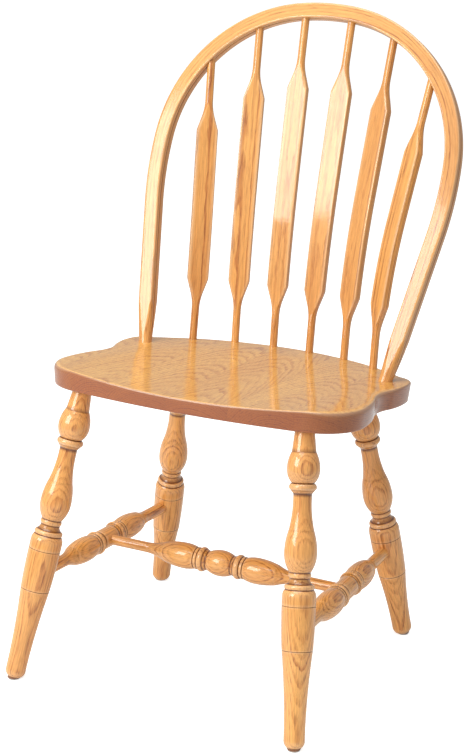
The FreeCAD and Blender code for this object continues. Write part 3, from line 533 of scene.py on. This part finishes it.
# Seat board: the outline's edge rolls over into the saddled top
seat = {
    "base": (0.0, -4.1, 421.4), "slope": -4.86, "thickness": 32.0, "flare": 3.0,
    "corners": [(182, -189, 0.45, -0.95), (248, -113, 1, 0), (237, -45, 1, 0.2),
                (236, 24, 1, -0.1), (238, 88, 1, 0.25), (213, 110, 0.5, 0.87)],
    "middles": [(233, -160, 0.85, -0.55), (245.5, -82, 1, 0.1), (231, 4, 1, 0),
                (240, 60, 1, 0), (229, 102, 0.85, 0.6)],
    "front": 205.0, "back": 185.0,
    "saddleY": (-227.5, -60.0, 118.0), "saddleHalf": (186.0, 196.0, 120.0), "saddleDepth": (9.0, 8.0, 0.5),
    "saddleLimits": (-3.0, 12.0), "saddleLeastHalf": 40.0, "rimSoftness": 0.5,
    "topRound": 4.0, "bottomRound": 2.5, "cheekRound": 7.0, "cheekX": (185, 230), "cheekY": 60,
    "sideCounts": [40, 22, 22, 20, 16], "backCount": 120, "frontCount": 110, "centre": (0.0, -10.0),
}


def onSeat(points):
    return rotated(np.asarray(points, float), seat["slope"]) + np.array(seat["base"])


def arcThrough(a, m, b, count):
    # Points from a up to but without b on the circle through a, m and b
    a, m, b = np.asarray(a, float), np.asarray(m, float), np.asarray(b, float)
    lines = np.array([m - a, b - a]) * 2.0
    centre = np.linalg.solve(lines, [m @ m - a @ a, b @ b - a @ a])
    start = math.atan2(*(a - centre)[::-1])
    toMiddle = (math.atan2(*(m - centre)[::-1]) - start) % (2 * math.pi)
    toEnd = (math.atan2(*(b - centre)[::-1]) - start) % (2 * math.pi)
    sweep = toEnd if toMiddle < toEnd else toEnd - 2 * math.pi
    angle = start + np.linspace(0.0, sweep, count, endpoint=False)
    return centre + np.linalg.norm(a - centre) * np.stack([np.cos(angle), np.sin(angle)], axis=-1)


def seatOutline(flare):
    right = [(x + fx * flare, y + fy * flare) for x, y, fx, fy in seat["corners"]]
    rightMiddles = [(x + fx * flare, y + fy * flare) for x, y, fx, fy in seat["middles"]]
    left = [(-x, y) for x, y in reversed(right)]
    leftMiddles = [(-x, y) for x, y in reversed(rightMiddles)]
    corners = right + left
    middles = rightMiddles + [(0.0, seat["back"] + flare)] + leftMiddles + [(0.0, -seat["front"] - flare)]
    counts = seat["sideCounts"] + [seat["backCount"]] + seat["sideCounts"][::-1] + [seat["frontCount"]]
    parts = []
    for i, middle in enumerate(middles):
        parts.append(arcThrough(corners[i], middle, corners[(i + 1) % len(corners)], counts[i]))
    return np.concatenate(parts)


saddleHalf = np.polyfit(seat["saddleY"], seat["saddleHalf"], 2)
saddleDepth = np.polyfit(seat["saddleY"], seat["saddleDepth"], 2)


def seatTop(flatPoints):
    # Height of the saddled top over the underside
    x, y = flatPoints[..., 0], flatPoints[..., 1]
    half = np.maximum(np.polyval(saddleHalf, y), seat["saddleLeastHalf"])
    depth = np.polyval(saddleDepth, y)
    hollow = np.clip(depth, *seat["saddleLimits"]) * (1 - (x / half) ** 2)
    hollow = np.where(depth < 0, -np.abs(hollow), hollow)
    return seat["thickness"] - 0.5 * (hollow + np.sqrt(hollow ** 2 + seat["rimSoftness"]))


low = seatOutline(0.0)
high = seatOutline(seat["flare"])
reach = np.linalg.norm(high - low, axis=1, keepdims=True)
outward = (high - low) / reach
cornerHeight = seatTop(high)
cornerFlat = low + outward * reach * (cornerHeight / seat["thickness"])[:, None]
cornerHeight = seatTop(cornerFlat)
cheekFrom, cheekTo = seat["cheekX"]
cheek = np.clip((np.abs(low[:, 0]) - cheekFrom) / (cheekTo - cheekFrom), 0, 1)
cheek = cheek * np.clip(1 - low[:, 1] / seat["cheekY"], 0, 1)
topRound = (seat["topRound"] + seat["cheekRound"] * cheek)[:, None]
bottomRound = seat["bottomRound"]
slant = np.sqrt(reach ** 2 + seat["thickness"] ** 2)
sideFlat = outward * (reach / slant)
sideRise = seat["thickness"] / slant


def seatRow(flatPoints, heights):
    return np.concatenate([flatPoints, np.broadcast_to(heights, flatPoints[:, :1].shape)], axis=1)


def rolled(start, corner, end, count):
    # Rows that roll from start to end, pulled towards the corner between them
    return [(1 - s) ** 2 * start + 2 * s * (1 - s) * corner + s * s * end for s in np.linspace(0, 1, count)]


middle = np.array(seat["centre"])
under = low - outward * bottomRound
rows = [seatRow(middle + (under - middle) * s, 0.0) for s in (0.02, 0.35, 0.7, 0.9)]
sideLow = seatRow(low + sideFlat * bottomRound, sideRise * bottomRound)
firstEdgeRow = len(rows) + 2
rows += rolled(seatRow(under, 0.0), seatRow(low, 0.0), sideLow, 6)
sideHigh = seatRow(cornerFlat - sideFlat * topRound, cornerHeight[:, None] - sideRise * topRound)
for s in (0.12, 0.3, 0.5, 0.7, 0.88):
    rows.append(sideLow + (sideHigh - sideLow) * s)
topArrisRow = len(rows) + 4
inner = cornerFlat - outward * topRound
topCorner = seatRow(cornerFlat, cornerHeight[:, None])
topEdge = seatRow(inner, seatTop(inner)[:, None])
rows += rolled(sideHigh, topCorner, topEdge, 9)
for s in 1 - np.linspace(0, 1, 62)[1:-1] ** 1.35:
    flatRow = middle + (inner - middle) * s
    rows.append(seatRow(flatRow, seatTop(flatRow)[:, None]))
grid = np.stack(rows)

# The stain is deepest where the board's ends show, and the upper arris is painted lighter over a few rows,
# as rubbed wear and as a painted highlight
seatForm = np.zeros(grid.shape)
seatForm[firstEdgeRow:topArrisRow + 1, :, 2] = np.clip(np.abs(outward[:, 1]) * 1.1, 0.95, 1)
arrisRow = np.exp(-0.5 * ((np.arange(len(rows)) - topArrisRow) / 1.8) ** 2)
seatForm[..., 1] = 0.9 * arrisRow[:, None]
makePiece("seat", onSeat(grid), grid[..., [0, 2, 1]] * milli, seatForm, seatOak, 60.0)
print("seat made")

# Turned legs, from the tenon's tip down to the sole
leg = {
    "stations": [
        ("corner", 0.0, 29.0), ("corner", 25.0, 29.0), ("corner", 27.0, 35.0), ("crest", 25.0, 47.6),
        ("corner", 19.5, 32.6), ("crest", 5.5, 39.9), ("corner", 4.0, 35.6), ("corner", 5.5, 26.8),
        ("crest", 9.5, 26.8), ("corner", 42.0, 36.6), ("crest", 32.4, 46.9), ("corner", 27.1, 30.2),
        ("crest", 4.0, 32.6), ("corner", 3.8, 29.2), ("crest", 0.9, 29.2), ("corner", 8.8, 40.6),
        ("crest", 3.0, 43.0), ("corner", 3.4, 40.6), ("corner", 1.0, 42.6), ("crest", 9.0, 48.5),
        ("corner", 12.6, 48.5), ("corner", 0.7, 47.1), ("crest", 0.7, 48.4), ("corner", 61.4, 44.5),
        ("corner", 0.7, 43.2), ("corner", 0.7, 44.3), ("crest", "taper", 30.6), ("corner", 10.0, 20.0),
    ],
    "socketDepth": 20.0, "spare": 3.0, "sole": 2.5, "pastSole": (14.0, 10.0), "soleRows": 12,
    "columns": 80, "pith": 0.034, "grainSlant": 0.00012,
    "front": {"socket": (181.7, -164.7), "foot": (233.8, -284.6)},
    "rear": {"socket": (153.1, 99.0), "foot": (222.8, 158.4)},
}
around = np.linspace(0, 2 * math.pi, leg["columns"], endpoint=False)
legPlace = {}


def placeTurned(base, axes, place, radius, angles):
    # Rings of a turned piece in the frame, and its own coordinates. Place and radius are one per point.
    local = np.stack([radius * np.cos(angles), radius * np.sin(angles), place], axis=-1)
    return base + local @ axes, local


def makeLeg(end, side, chance):
    across = 1 if side == "left" else -1
    socket = onSeat([across * leg[end]["socket"][0], leg[end]["socket"][1], 0.0])
    foot = np.array([across * leg[end]["foot"][0], leg[end]["foot"][1], 0.0])
    way = unit(foot - socket)
    legPlace[end, side] = (socket, way)
    length = np.linalg.norm(foot - socket) + leg["socketDepth"]
    fixed = sum(step for kind, step, diameter in leg["stations"] if step != "taper")
    taper = length - leg["spare"] - fixed
    stations = [(kind, taper if step == "taper" else step, d) for kind, step, d in leg["stations"]]
    line = turnedLine(stations)
    leg[end]["line"] = line
    extra, tip = leg["pastSole"]
    line = np.concatenate([line, [[line[-1, 0] + extra, tip]]])
    axes = axesAlong(way, np.array(camera["back"]))
    base = socket - way * leg["socketDepth"]

    # The sole is cut level, so the last stretch of each column ends where it meets that level
    toe = length - leg["spare"] - leg["stations"][-1][1]
    rising = axes[0, 2] * np.cos(around) + axes[1, 2] * np.sin(around)
    nearer, further = np.full(leg["columns"], toe), np.full(leg["columns"], line[-1, 0])
    for step in range(30):
        half = (nearer + further) / 2
        level = base[2] + way[2] * half + alongLine(line, half) * rising
        nearer = np.where(level > leg["sole"], half, nearer)
        further = np.where(level > leg["sole"], further, half)
    upper = line[line[:, 0] < toe - 0.1, 0]
    upper = np.broadcast_to(upper[:, None], (len(upper), leg["columns"]))
    lower = toe + (nearer - toe) * np.linspace(0, 1, leg["soleRows"])[:, None]
    place = np.concatenate([upper, lower])
    points, local = placeTurned(base, axes, place, alongLine(line, place), around)
    hollow, arris = formOf(line[:, 0], line[:, 1])
    form = np.stack([
        np.interp(place, line[:, 0], hollow), np.interp(place, line[:, 0], arris), np.zeros(place.shape),
    ], axis=-1)
    away, aside, ahead = pithPlace(chance, leg["pith"])
    stick = local * milli - np.array([-away, aside, ahead])
    stick[..., 0] += leg["grainSlant"] * (chance[3] - 0.5) * local[..., 2]
    makePiece("leg_%s_%s" % (end, side), points, stick, form, turnedOak)


chances = np.random.default_rng(7).random((32, 4))
legOrder = [("front", "left"), ("front", "right"), ("rear", "left"), ("rear", "right")]
for number, (end, side) in enumerate(legOrder):
    makeLeg(end, side, chances[number])
print("legs made")

# Stretchers: half profiles from the middle outwards
stretcher = {
    "frontDrop": 289.0, "rearDrop": 271.0, "crossPlace": 184.6, "socket": 20.0, "crossSocket": 12.0,
    "columns": 72, "pith": 0.03,
    "side": [
        ("corner", 0.0, 32.0), ("corner", 17.0, 32.0), ("corner", 1.5, 29.6), ("corner", 5.0, 34.0),
        ("crest", 4.5, 38.0), ("corner", 4.8, 32.4), ("crest", 3.2, 35.0), ("corner", 2.6, 32.4),
        ("corner", 1.2, 34.4), ("crest", 22.2, 39.0), ("corner", 32.0, 31.0), ("crest", 26.0, 19.5),
    ],
    "cross": [
        ("crest", 0.0, 40.6), ("corner", 19.5, 31.2), ("corner", 1.5, 29.6), ("corner", 6.0, 34.0),
        ("crest", 4.5, 38.4), ("corner", 4.8, 32.4), ("crest", 3.4, 35.0), ("corner", 2.6, 32.4),
        ("corner", 1.2, 34.6), ("crest", 18.5, 40.4), ("corner", 34.0, 31.2), ("crest", 36.0, 16.3),
    ],
}


def wholeOf(half, nearStem, farStem):
    # Both halves of a stretcher with the stems out to its tips
    whole = [("corner", 0.0, half[-1][2])]
    step = nearStem
    for kind, ownStep, diameter in reversed(half):
        whole.append((kind, step, diameter))
        step = ownStep
    return whole + half[1:] + [("corner", farStem, half[-1][2])]


def makeStretcher(name, start, way, stations, chance):
    line = turnedLine(stations)
    columns = stretcher["columns"]
    axes = axesAlong(way, np.array(camera["back"]))
    angles = np.linspace(0, 2 * math.pi, columns, endpoint=False)
    shape = (len(line), columns)
    place = np.broadcast_to(line[:, :1], shape)
    radius = np.broadcast_to(line[:, 1:], shape)
    points, local = placeTurned(start, axes, place, radius, angles)
    hollow, arris = formOf(line[:, 0], line[:, 1])
    form = np.zeros(shape + (3,))
    form[..., 0] = hollow[:, None]
    form[..., 1] = arris[:, None]
    away, aside, ahead = pithPlace(chance, stretcher["pith"])
    stick = local * milli - np.array([-away, aside, ahead])
    makePiece(name, points, stick, form, turnedOak)


def legRadius(end, drop):
    return float(alongLine(leg[end]["line"], drop + leg["socketDepth"]))


crossEnds = {}
sideLength = sum(step for kind, step, diameter in stretcher["side"])
for number, side in enumerate(("left", "right")):
    socketA, wayA = legPlace["front", side]
    socketB, wayB = legPlace["rear", side]
    front = socketA + wayA * stretcher["frontDrop"]
    rear = socketB + wayB * stretcher["rearDrop"]
    run = unit(rear - front)
    crossEnds[side] = front + run * stretcher["crossPlace"]
    nearTip = legRadius("front", stretcher["frontDrop"]) - stretcher["socket"]
    farTip = legRadius("rear", stretcher["rearDrop"]) - stretcher["socket"]
    nearStem = stretcher["crossPlace"] - nearTip - sideLength
    farStem = np.linalg.norm(rear - front) - stretcher["crossPlace"] - farTip - sideLength
    makeStretcher(
        "side_stretcher_" + side, front + run * nearTip, run,
        wholeOf(stretcher["side"], nearStem, farStem), chances[4 + number],
    )
crossTip = stretcher["side"][0][2] / 2 - stretcher["crossSocket"]
crossLength = sum(step for kind, step, diameter in stretcher["cross"])
crossSpan = np.linalg.norm(crossEnds["left"] - crossEnds["right"])
crossStem = crossSpan / 2 - crossTip - crossLength
makeStretcher(
    "cross_stretcher", crossEnds["right"] + np.array([crossTip, 0, 0]), np.array([1.0, 0, 0]),
    wholeOf(stretcher["cross"], crossStem, crossStem), chances[6],
)
print("stretchers made")

# Bow: a moulded section carried along the bent path, round at the feet
bow = {
    "lean": 22.6, "footY": 57.3, "footHalf": 194.3, "stileAngle": 8.71, "stileLength": 233.6,
    "haunch": 532.6, "shoulder": 220.7, "crown": 341.4, "height": 550.0,
    "width": 24.0, "depth": 22.0, "arris": 2.6, "quirk": 1.2, "quirkAt": 4.8, "bead": 5.0, "backArris": 2.2,
    "tenon": 10.5, "tenonDepth": 20.0, "collar": 4.0, "taper": 90.0, "taperEnd": 17.2,
    "pith": (14.0, 38.0), "grainSlant": 0.012,
}
lean = math.radians(bow["lean"])
bowAxes = np.array([[1, 0, 0], [0, math.sin(lean), math.cos(lean)], [0, -math.cos(lean), math.sin(lean)]])
bowBase = onSeat([0.0, bow["footY"], seat["thickness"]])


def onBow(points):
    return bowBase + np.asarray(points, float) @ bowAxes


angle = math.radians(bow["stileAngle"])
stileWay = np.array([math.sin(angle), math.cos(angle)])
stileSide = np.array([math.cos(angle), -math.sin(angle)])
bowFoot = np.array([bow["footHalf"], 0.0])
haunchStart = bowFoot + stileWay * bow["stileLength"]
haunchCentre = haunchStart - stileSide * bow["haunch"]
crownCentre = np.array([0.0, bow["height"] - bow["crown"]])
reachA, reachB = bow["haunch"] - bow["shoulder"], bow["crown"] - bow["shoulder"]
gap = np.linalg.norm(crownCentre - haunchCentre)
gapWay = (crownCentre - haunchCentre) / gap
along = (reachA ** 2 - reachB ** 2 + gap ** 2) / (2 * gap)
shoulderCentre = haunchCentre + gapWay * along
shoulderCentre = shoulderCentre + np.array([-gapWay[1], gapWay[0]]) * math.sqrt(reachA ** 2 - along ** 2)
haunchEnd = unit(shoulderCentre - haunchCentre)
crownStart = unit(shoulderCentre - crownCentre)

# Where the stile's middle line meets the sloping seat
footMiddle = onBow([*(bowFoot + stileSide * bow["width"] / 2), -bow["depth"] / 2])
footWay = np.array([*stileWay, 0.0]) @ bowAxes
seatNormal = rotated(np.array([0.0, 0.0, 1.0]), seat["slope"])
toSeat = (onSeat([0.0, 0.0, seat["thickness"]]) - footMiddle) @ seatNormal / (footWay @ seatNormal)
collar = toSeat + bow["collar"]


def arcRun(centre, radius, startWay, endWay, step):
    a = math.atan2(startWay[1], startWay[0])
    b = math.atan2(endWay[1], endWay[0])
    angles = np.linspace(a, b, max(4, int(abs(b - a) * radius / step)))
    ways = np.stack([np.cos(angles), np.sin(angles)], axis=-1)
    return centre + radius * ways, ways


stileStops = np.concatenate([
    np.linspace(toSeat - bow["tenonDepth"], collar, 14), np.linspace(collar, collar + bow["taper"], 60)[1:],
    np.linspace(collar + bow["taper"], bow["stileLength"], 40)[1:-1],
])
stilePath = bowFoot + stileWay * stileStops[:, None]
haunchPath, haunchOut = arcRun(haunchCentre, bow["haunch"], stileSide, haunchEnd, 3.0)
shoulderPath, shoulderOut = arcRun(shoulderCentre, bow["shoulder"], haunchEnd, crownStart, 2.5)
crownPath, crownOut = arcRun(crownCentre, bow["crown"], crownStart, np.array([0.0, 1.0]), 3.0)
halfPath = np.concatenate([stilePath, haunchPath, shoulderPath[1:], crownPath[1:]])
stileOut = np.broadcast_to(stileSide, stilePath.shape)
halfOut = np.concatenate([stileOut, haunchOut, shoulderOut[1:], crownOut[1:]])
mirror = np.array([-1.0, 1.0])
path = np.concatenate([halfPath, halfPath[-2::-1] * mirror])
out = np.concatenate([halfOut, halfOut[-2::-1] * mirror])
pastTaper = 1e6
upStile = np.full(len(halfPath), pastTaper)
upStile[:len(stileStops)] = stileStops
upStile = np.concatenate([upStile, upStile[-2::-1]])


def bowSection():
    # Across and back, from the front of the outer side round by the back to the inner side
    a, b, q = bow["arris"], bow["backArris"], bow["quirk"]
    start, stop = bow["quirkAt"], bow["quirkAt"] + bow["bead"]
    w, d = bow["width"], bow["depth"]
    quarter = np.linspace(0, math.pi / 2, 7)
    half = np.linspace(0, math.pi, 9)
    frontRound = np.stack([a * (1 - np.sin(quarter)), a * (1 - np.cos(quarter))], axis=-1)[::-1]
    bead = np.stack([q - q * np.sin(half), start + bow["bead"] * (1 - np.cos(half)) / 2], axis=-1)
    backRound = np.stack([b * (1 - np.cos(quarter)), d - b * (1 - np.sin(quarter))], axis=-1)
    plain = np.stack([np.zeros(5), np.linspace(stop + q, d - b, 6)[:-1]], axis=-1)
    side = np.concatenate([frontRound[::-1], [[0, start - q]], bead, plain, backRound])
    hollow = np.zeros(len(side))
    quirkRow = len(frontRound) + 1
    lastBeadRow = quirkRow + len(bead) - 1
    hollow[[quirkRow, lastBeadRow]] = 1.0
    hollow[[quirkRow - 1, lastBeadRow + 1]] = 0.25
    # Painted highlight with wear: the front round and the bead's crest are painted lighter
    arris = np.zeros(len(side))
    arris[1:6] = (0.4, 0.8, 1.0, 0.8, 0.4)
    arris[quirkRow + 3:quirkRow + 6] = (0.4, 0.7, 0.4)
    outer = side * np.array([-1.0, 1.0]) + np.array([w, 0.0])
    front = np.stack([np.linspace(a, w - a, 9)[1:-1], np.zeros(7)], axis=-1)
    back = np.stack([np.linspace(w - b, b, 9)[1:-1], np.full(7, d)], axis=-1)
    section = np.concatenate([front, outer, back, side[::-1]])
    zero = np.zeros(len(front))
    hollows = np.concatenate([zero, hollow, zero, hollow[::-1]])
    arrises = np.concatenate([zero, arris, zero, arris[::-1]])
    return section, hollows, arrises


section, sectionHollow, sectionArris = bowSection()
sectionMiddle = np.array([bow["width"] / 2, bow["depth"] / 2])
offset = section - sectionMiddle
offsetSize = np.linalg.norm(offset, axis=1)
cone = bow["tenon"] + np.clip((upStile - collar) / bow["taper"], 0, 4) * (bow["taperEnd"] - bow["tenon"])
shrink = np.minimum(1.0, cone[:, None] / offsetSize[None, :])
across = sectionMiddle[0] + offset[None, :, 0] * shrink
back = sectionMiddle[1] + offset[None, :, 1] * shrink
flatPath = path[:, None, :] + out[:, None, :] * across[..., None]
bowPoints = onBow(np.concatenate([flatPath, -back[..., None]], axis=-1))
runLength = np.concatenate([[0.0], np.cumsum(np.linalg.norm(np.diff(path, axis=0), axis=1))])
pithAcross, pithBack = bow["pith"]
runGrid = np.broadcast_to(runLength[:, None], across.shape)
bowStick = np.stack([across + pithAcross, back + pithBack + runGrid * bow["grainSlant"], runGrid], axis=-1)
moulded = (shrink > 0.999).astype(float)
bowForm = np.stack([sectionHollow * moulded, sectionArris * moulded, 0 * moulded], axis=-1)
makePiece("bow", bowPoints, bowStick * milli, bowForm, bowOak, 50.0)
print("bow made")

# Arrow spindles: turned, flattened to a slab and steam-bent forwards, with eased edges
spindle = {
    "foot": {"inner": (31.7, 177.9), "middle": (95.9, 168.4), "outer": (157.9, 139.3)},
    "top": {"inner": 39.4, "middle": 114.9, "outer": 188.5},
    "turn": {"inner": 5.0, "middle": 17.0, "outer": 33.0},
    "bend": {"inner": 13.5, "middle": 16.0, "outer": 19.5}, "bendPlace": 0.28, "bendShare": 0.85,
    "seatDepth": 19.0, "bowDepth": 13.0, "half": 6.35, "widest": 17.25, "cornerPower": 24.0,
    "columns": 112, "cornerWeight": 7.0, "easing": 1.4, "arrisWidth": 1.1,
    "pith": 0.03, "grainSlant": 0.000012,
    "stations": [
        ("corner", 0.0, 12.5), ("crest", 70.0, 12.5), ("corner", 25.0, 20.0), ("corner", 23.0, 34.5),
        ("corner", "paddle", 34.5), ("corner", 23.0, 20.0), ("crest", 25.0, 12.5), ("corner", 74.0, 12.5),
    ],
    "places": [("outer", -1), ("middle", -1), ("inner", -1), ("inner", 1), ("middle", 1), ("outer", 1)],
}


def slabRadius(radius, angles):
    # Radius of a round cut to the slab, with the corner eased
    power = spindle["cornerPower"]
    flatReach = spindle["half"] / np.maximum(np.abs(np.sin(angles)), 1e-6)
    ratio = radius / flatReach
    return radius * (1 + ratio ** power) ** (-1 / power)


# Angles spaced evenly round the flattened section, closer at its corners
fine = np.linspace(0, 2 * math.pi, 4001)
fineRadius = slabRadius(spindle["widest"], fine)
finePoints = np.stack([fineRadius * np.cos(fine), fineRadius * np.sin(fine)], axis=-1)
steps = np.diff(finePoints, axis=0)
heading = np.unwrap(np.arctan2(steps[:, 1], steps[:, 0]))
bending = np.abs(np.gradient(heading))
weight = np.linalg.norm(steps, axis=1) + spindle["cornerWeight"] * bending
summed = np.concatenate([[0.0], np.cumsum(weight)])
evenly = np.linspace(0, summed[-1], spindle["columns"], endpoint=False)
spindleAngles = np.interp(evenly, summed, fine)


def bowInnerHeight(x):
    # How far up the bow's plane its inner edge lies
    if x < (crownCentre + crownStart * bow["crown"])[0]:
        return crownCentre[1] + math.sqrt(bow["crown"] ** 2 - x ** 2)
    return shoulderCentre[1] + math.sqrt(bow["shoulder"] ** 2 - (x - shoulderCentre[0]) ** 2)


def bentLine(place, chord):
    # Straight, arc, straight: the straights meet in front of the chord, and the ends stay on it
    offset, vertex = spindle["bend"][place], spindle["bendPlace"] * chord
    lowerAngle, upperAngle = math.atan2(offset, vertex), math.atan2(offset, chord - vertex)
    tangent = spindle["bendShare"] * math.hypot(offset, vertex)
    radius = tangent / math.tan((lowerAngle + upperAngle) / 2)
    lowerRun = spindle["seatDepth"] + math.hypot(offset, vertex) - tangent
    upperRun = math.hypot(offset, chord - vertex) - tangent + spindle["bowDepth"]
    return lowerAngle, lowerAngle + upperAngle, radius, lowerRun, upperRun


def makeSpindle(number, place, across, chance):
    footX, footY = spindle["foot"][place]
    topX = spindle["top"][place]
    foot = onSeat([across * footX, footY, seat["thickness"]])
    top = onBow([across * topX, bowInnerHeight(topX), -bow["depth"] / 2])
    lowerAngle, sweep, radius, lowerRun, upperRun = bentLine(place, np.linalg.norm(top - foot))
    turn = math.radians(across * spindle["turn"][place])
    chordAxes = axesAlong(top - foot, np.array([math.cos(turn), -math.sin(turn), 0.0]))
    axes = rotated(np.eye(3), math.degrees(lowerAngle)) @ chordAxes

    # Stations down the bent line, then each ring square to it
    length = lowerRun + radius * sweep + upperRun
    fixed = sum(step for kind, step, diameter in spindle["stations"] if step != "paddle")
    stations = [(k, length - fixed if step == "paddle" else step, d) for k, step, d in spindle["stations"]]
    line = turnedLine(stations, spindle["easing"])
    run = line[:, 0]
    turned = np.clip((run - lowerRun) / radius, 0.0, sweep)
    beyond = np.maximum(run - lowerRun - radius * sweep, 0.0)
    pathBack = radius * (1 - np.cos(turned)) + beyond * math.sin(sweep)
    pathUp = np.minimum(run, lowerRun) + radius * np.sin(turned) + beyond * math.cos(sweep)
    shape = (len(line), len(spindleAngles))
    ring = slabRadius(np.broadcast_to(line[:, 1:], shape), spindleAngles)
    ringBack = ring * np.sin(spindleAngles)
    local = np.stack([
        ring * np.cos(spindleAngles),
        pathBack[:, None] + ringBack * np.cos(turned)[:, None],
        pathUp[:, None] - ringBack * np.sin(turned)[:, None],
    ], axis=-1)
    points = foot + (local - np.array([0.0, 0.0, spindle["seatDepth"]])) @ axes
    flatness = np.clip((line[:, 1:] - 7.5) / 3, 0, 1)
    cornerAngle = np.arcsin(np.clip(spindle["half"] / np.maximum(line[:, 1:], 6.4), 0, 1))
    fold = np.abs(np.arcsin(np.abs(np.sin(spindleAngles)))[None, :] - cornerAngle) * line[:, 1:]
    # Painted highlight with wear: the paddle's edges are painted lighter along the fold
    form = np.zeros(shape + (3,))
    form[..., 1] = flatness * np.exp(-0.5 * (fold / spindle["arrisWidth"]) ** 2)
    away, aside, ahead = pithPlace(chance, spindle["pith"])
    stick = np.stack([local[..., 0], ringBack, np.broadcast_to(run[:, None], shape)], axis=-1)
    stick = stick * milli + np.array([aside, away, ahead])
    stick[..., 1] += local[..., 2] * spindle["grainSlant"] * (chance[3] - 0.3)
    makePiece("spindle_%d" % number, points, stick, form, spindleOak, 60.0)


for number, (place, across) in enumerate(spindle["places"], 1):
    makeSpindle(number, place, across, chances[10 + number])
print("spindles made")

# Glides keep their CAD shape
for end in ("front", "rear"):
    for side in ("left", "right"):
        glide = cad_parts["glide_%s_%s" % (end, side)]
        glide.data.materials.clear()
        glide.data.materials.append(glideSteel)
print("glides finished")

# Floor, pale and matt
floorReach = 60
floorCorners = [(x * floorReach, y * floorReach, 0) for x, y in ((-1, -1), (1, -1), (1, 1), (-1, 1))]
floorMesh = bpy.data.meshes.new("floor")
floorMesh.from_pydata(floorCorners, [], [(0, 1, 2, 3)])
floor = bpy.data.objects.new("floor", floorMesh)
scene.collection.objects.link(floor)
floorPale, tree, shader = newMaterial("floorPale")
floorRays = addNode(tree, "ShaderNodeLightPath")
feedAll(tree, shader, {
    "Base Color": (0.86, 0.86, 0.855, 1.0), "Roughness": 0.8, "Specular IOR Level": 0.2,
    "Emission Color": (1.0, 1.0, 1.0, 1.0),
    "Emission Strength": calc(tree, "MULTIPLY", floorRays.outputs["Is Camera Ray"], 0.7),
})
floorMesh.materials.append(floorPale)

# Light: a surround dimmer to the wood than to the camera, a wide soft box overhead and one in front
surround = {"seen": 1.0, "lessDiffuse": 0.54, "lessGlossy": 0.58}
world = bpy.data.worlds.new("surround")
world.use_nodes = True
tree = world.node_tree
tree.nodes.clear()
worldOut = addNode(tree, "ShaderNodeOutputWorld")
background = addNode(tree, "ShaderNodeBackground")
tree.links.new(background.outputs[0], worldOut.inputs["Surface"])
rays = addNode(tree, "ShaderNodeLightPath")
toDiffuse = rays.outputs["Is Diffuse Ray"]
toGlossy = rays.outputs["Is Glossy Ray"]
strength = calc(tree, "MULTIPLY_ADD", toDiffuse, -surround["lessDiffuse"], surround["seen"])
strength = calc(tree, "MULTIPLY_ADD", toGlossy, -surround["lessGlossy"], strength)
feedAll(tree, background, {"Color": (1.0, 1.0, 1.0, 1.0), "Strength": strength})
scene.world = world


def softBox(name, place, aim, width, height, radiance, colour):
    light = bpy.data.lights.new(name, "AREA")
    light.shape = "RECTANGLE"
    light.size = width
    light.size_y = height
    light.energy = radiance * math.pi * width * height
    light.color = colour
    box = bpy.data.objects.new(name, light)
    box.location = place
    box.rotation_mode = "QUATERNION"
    box.rotation_quaternion = (Vector(aim) - Vector(place)).to_track_quat("-Z", "Y")
    scene.collection.objects.link(box)
    box.visible_camera = False


softBox("frontBox", (-1.2, -2.2, 1.66), (0.0, 0.1, 0.75), 1.35, 1.2, 8.6, (1.0, 0.98, 0.94))
softBox("topBox", (-0.3, -0.6, 3.0), (0.0, 0.0, 0.4), 2.4, 2.4, 3.4, (1.0, 0.98, 0.95))
print("stage lit")
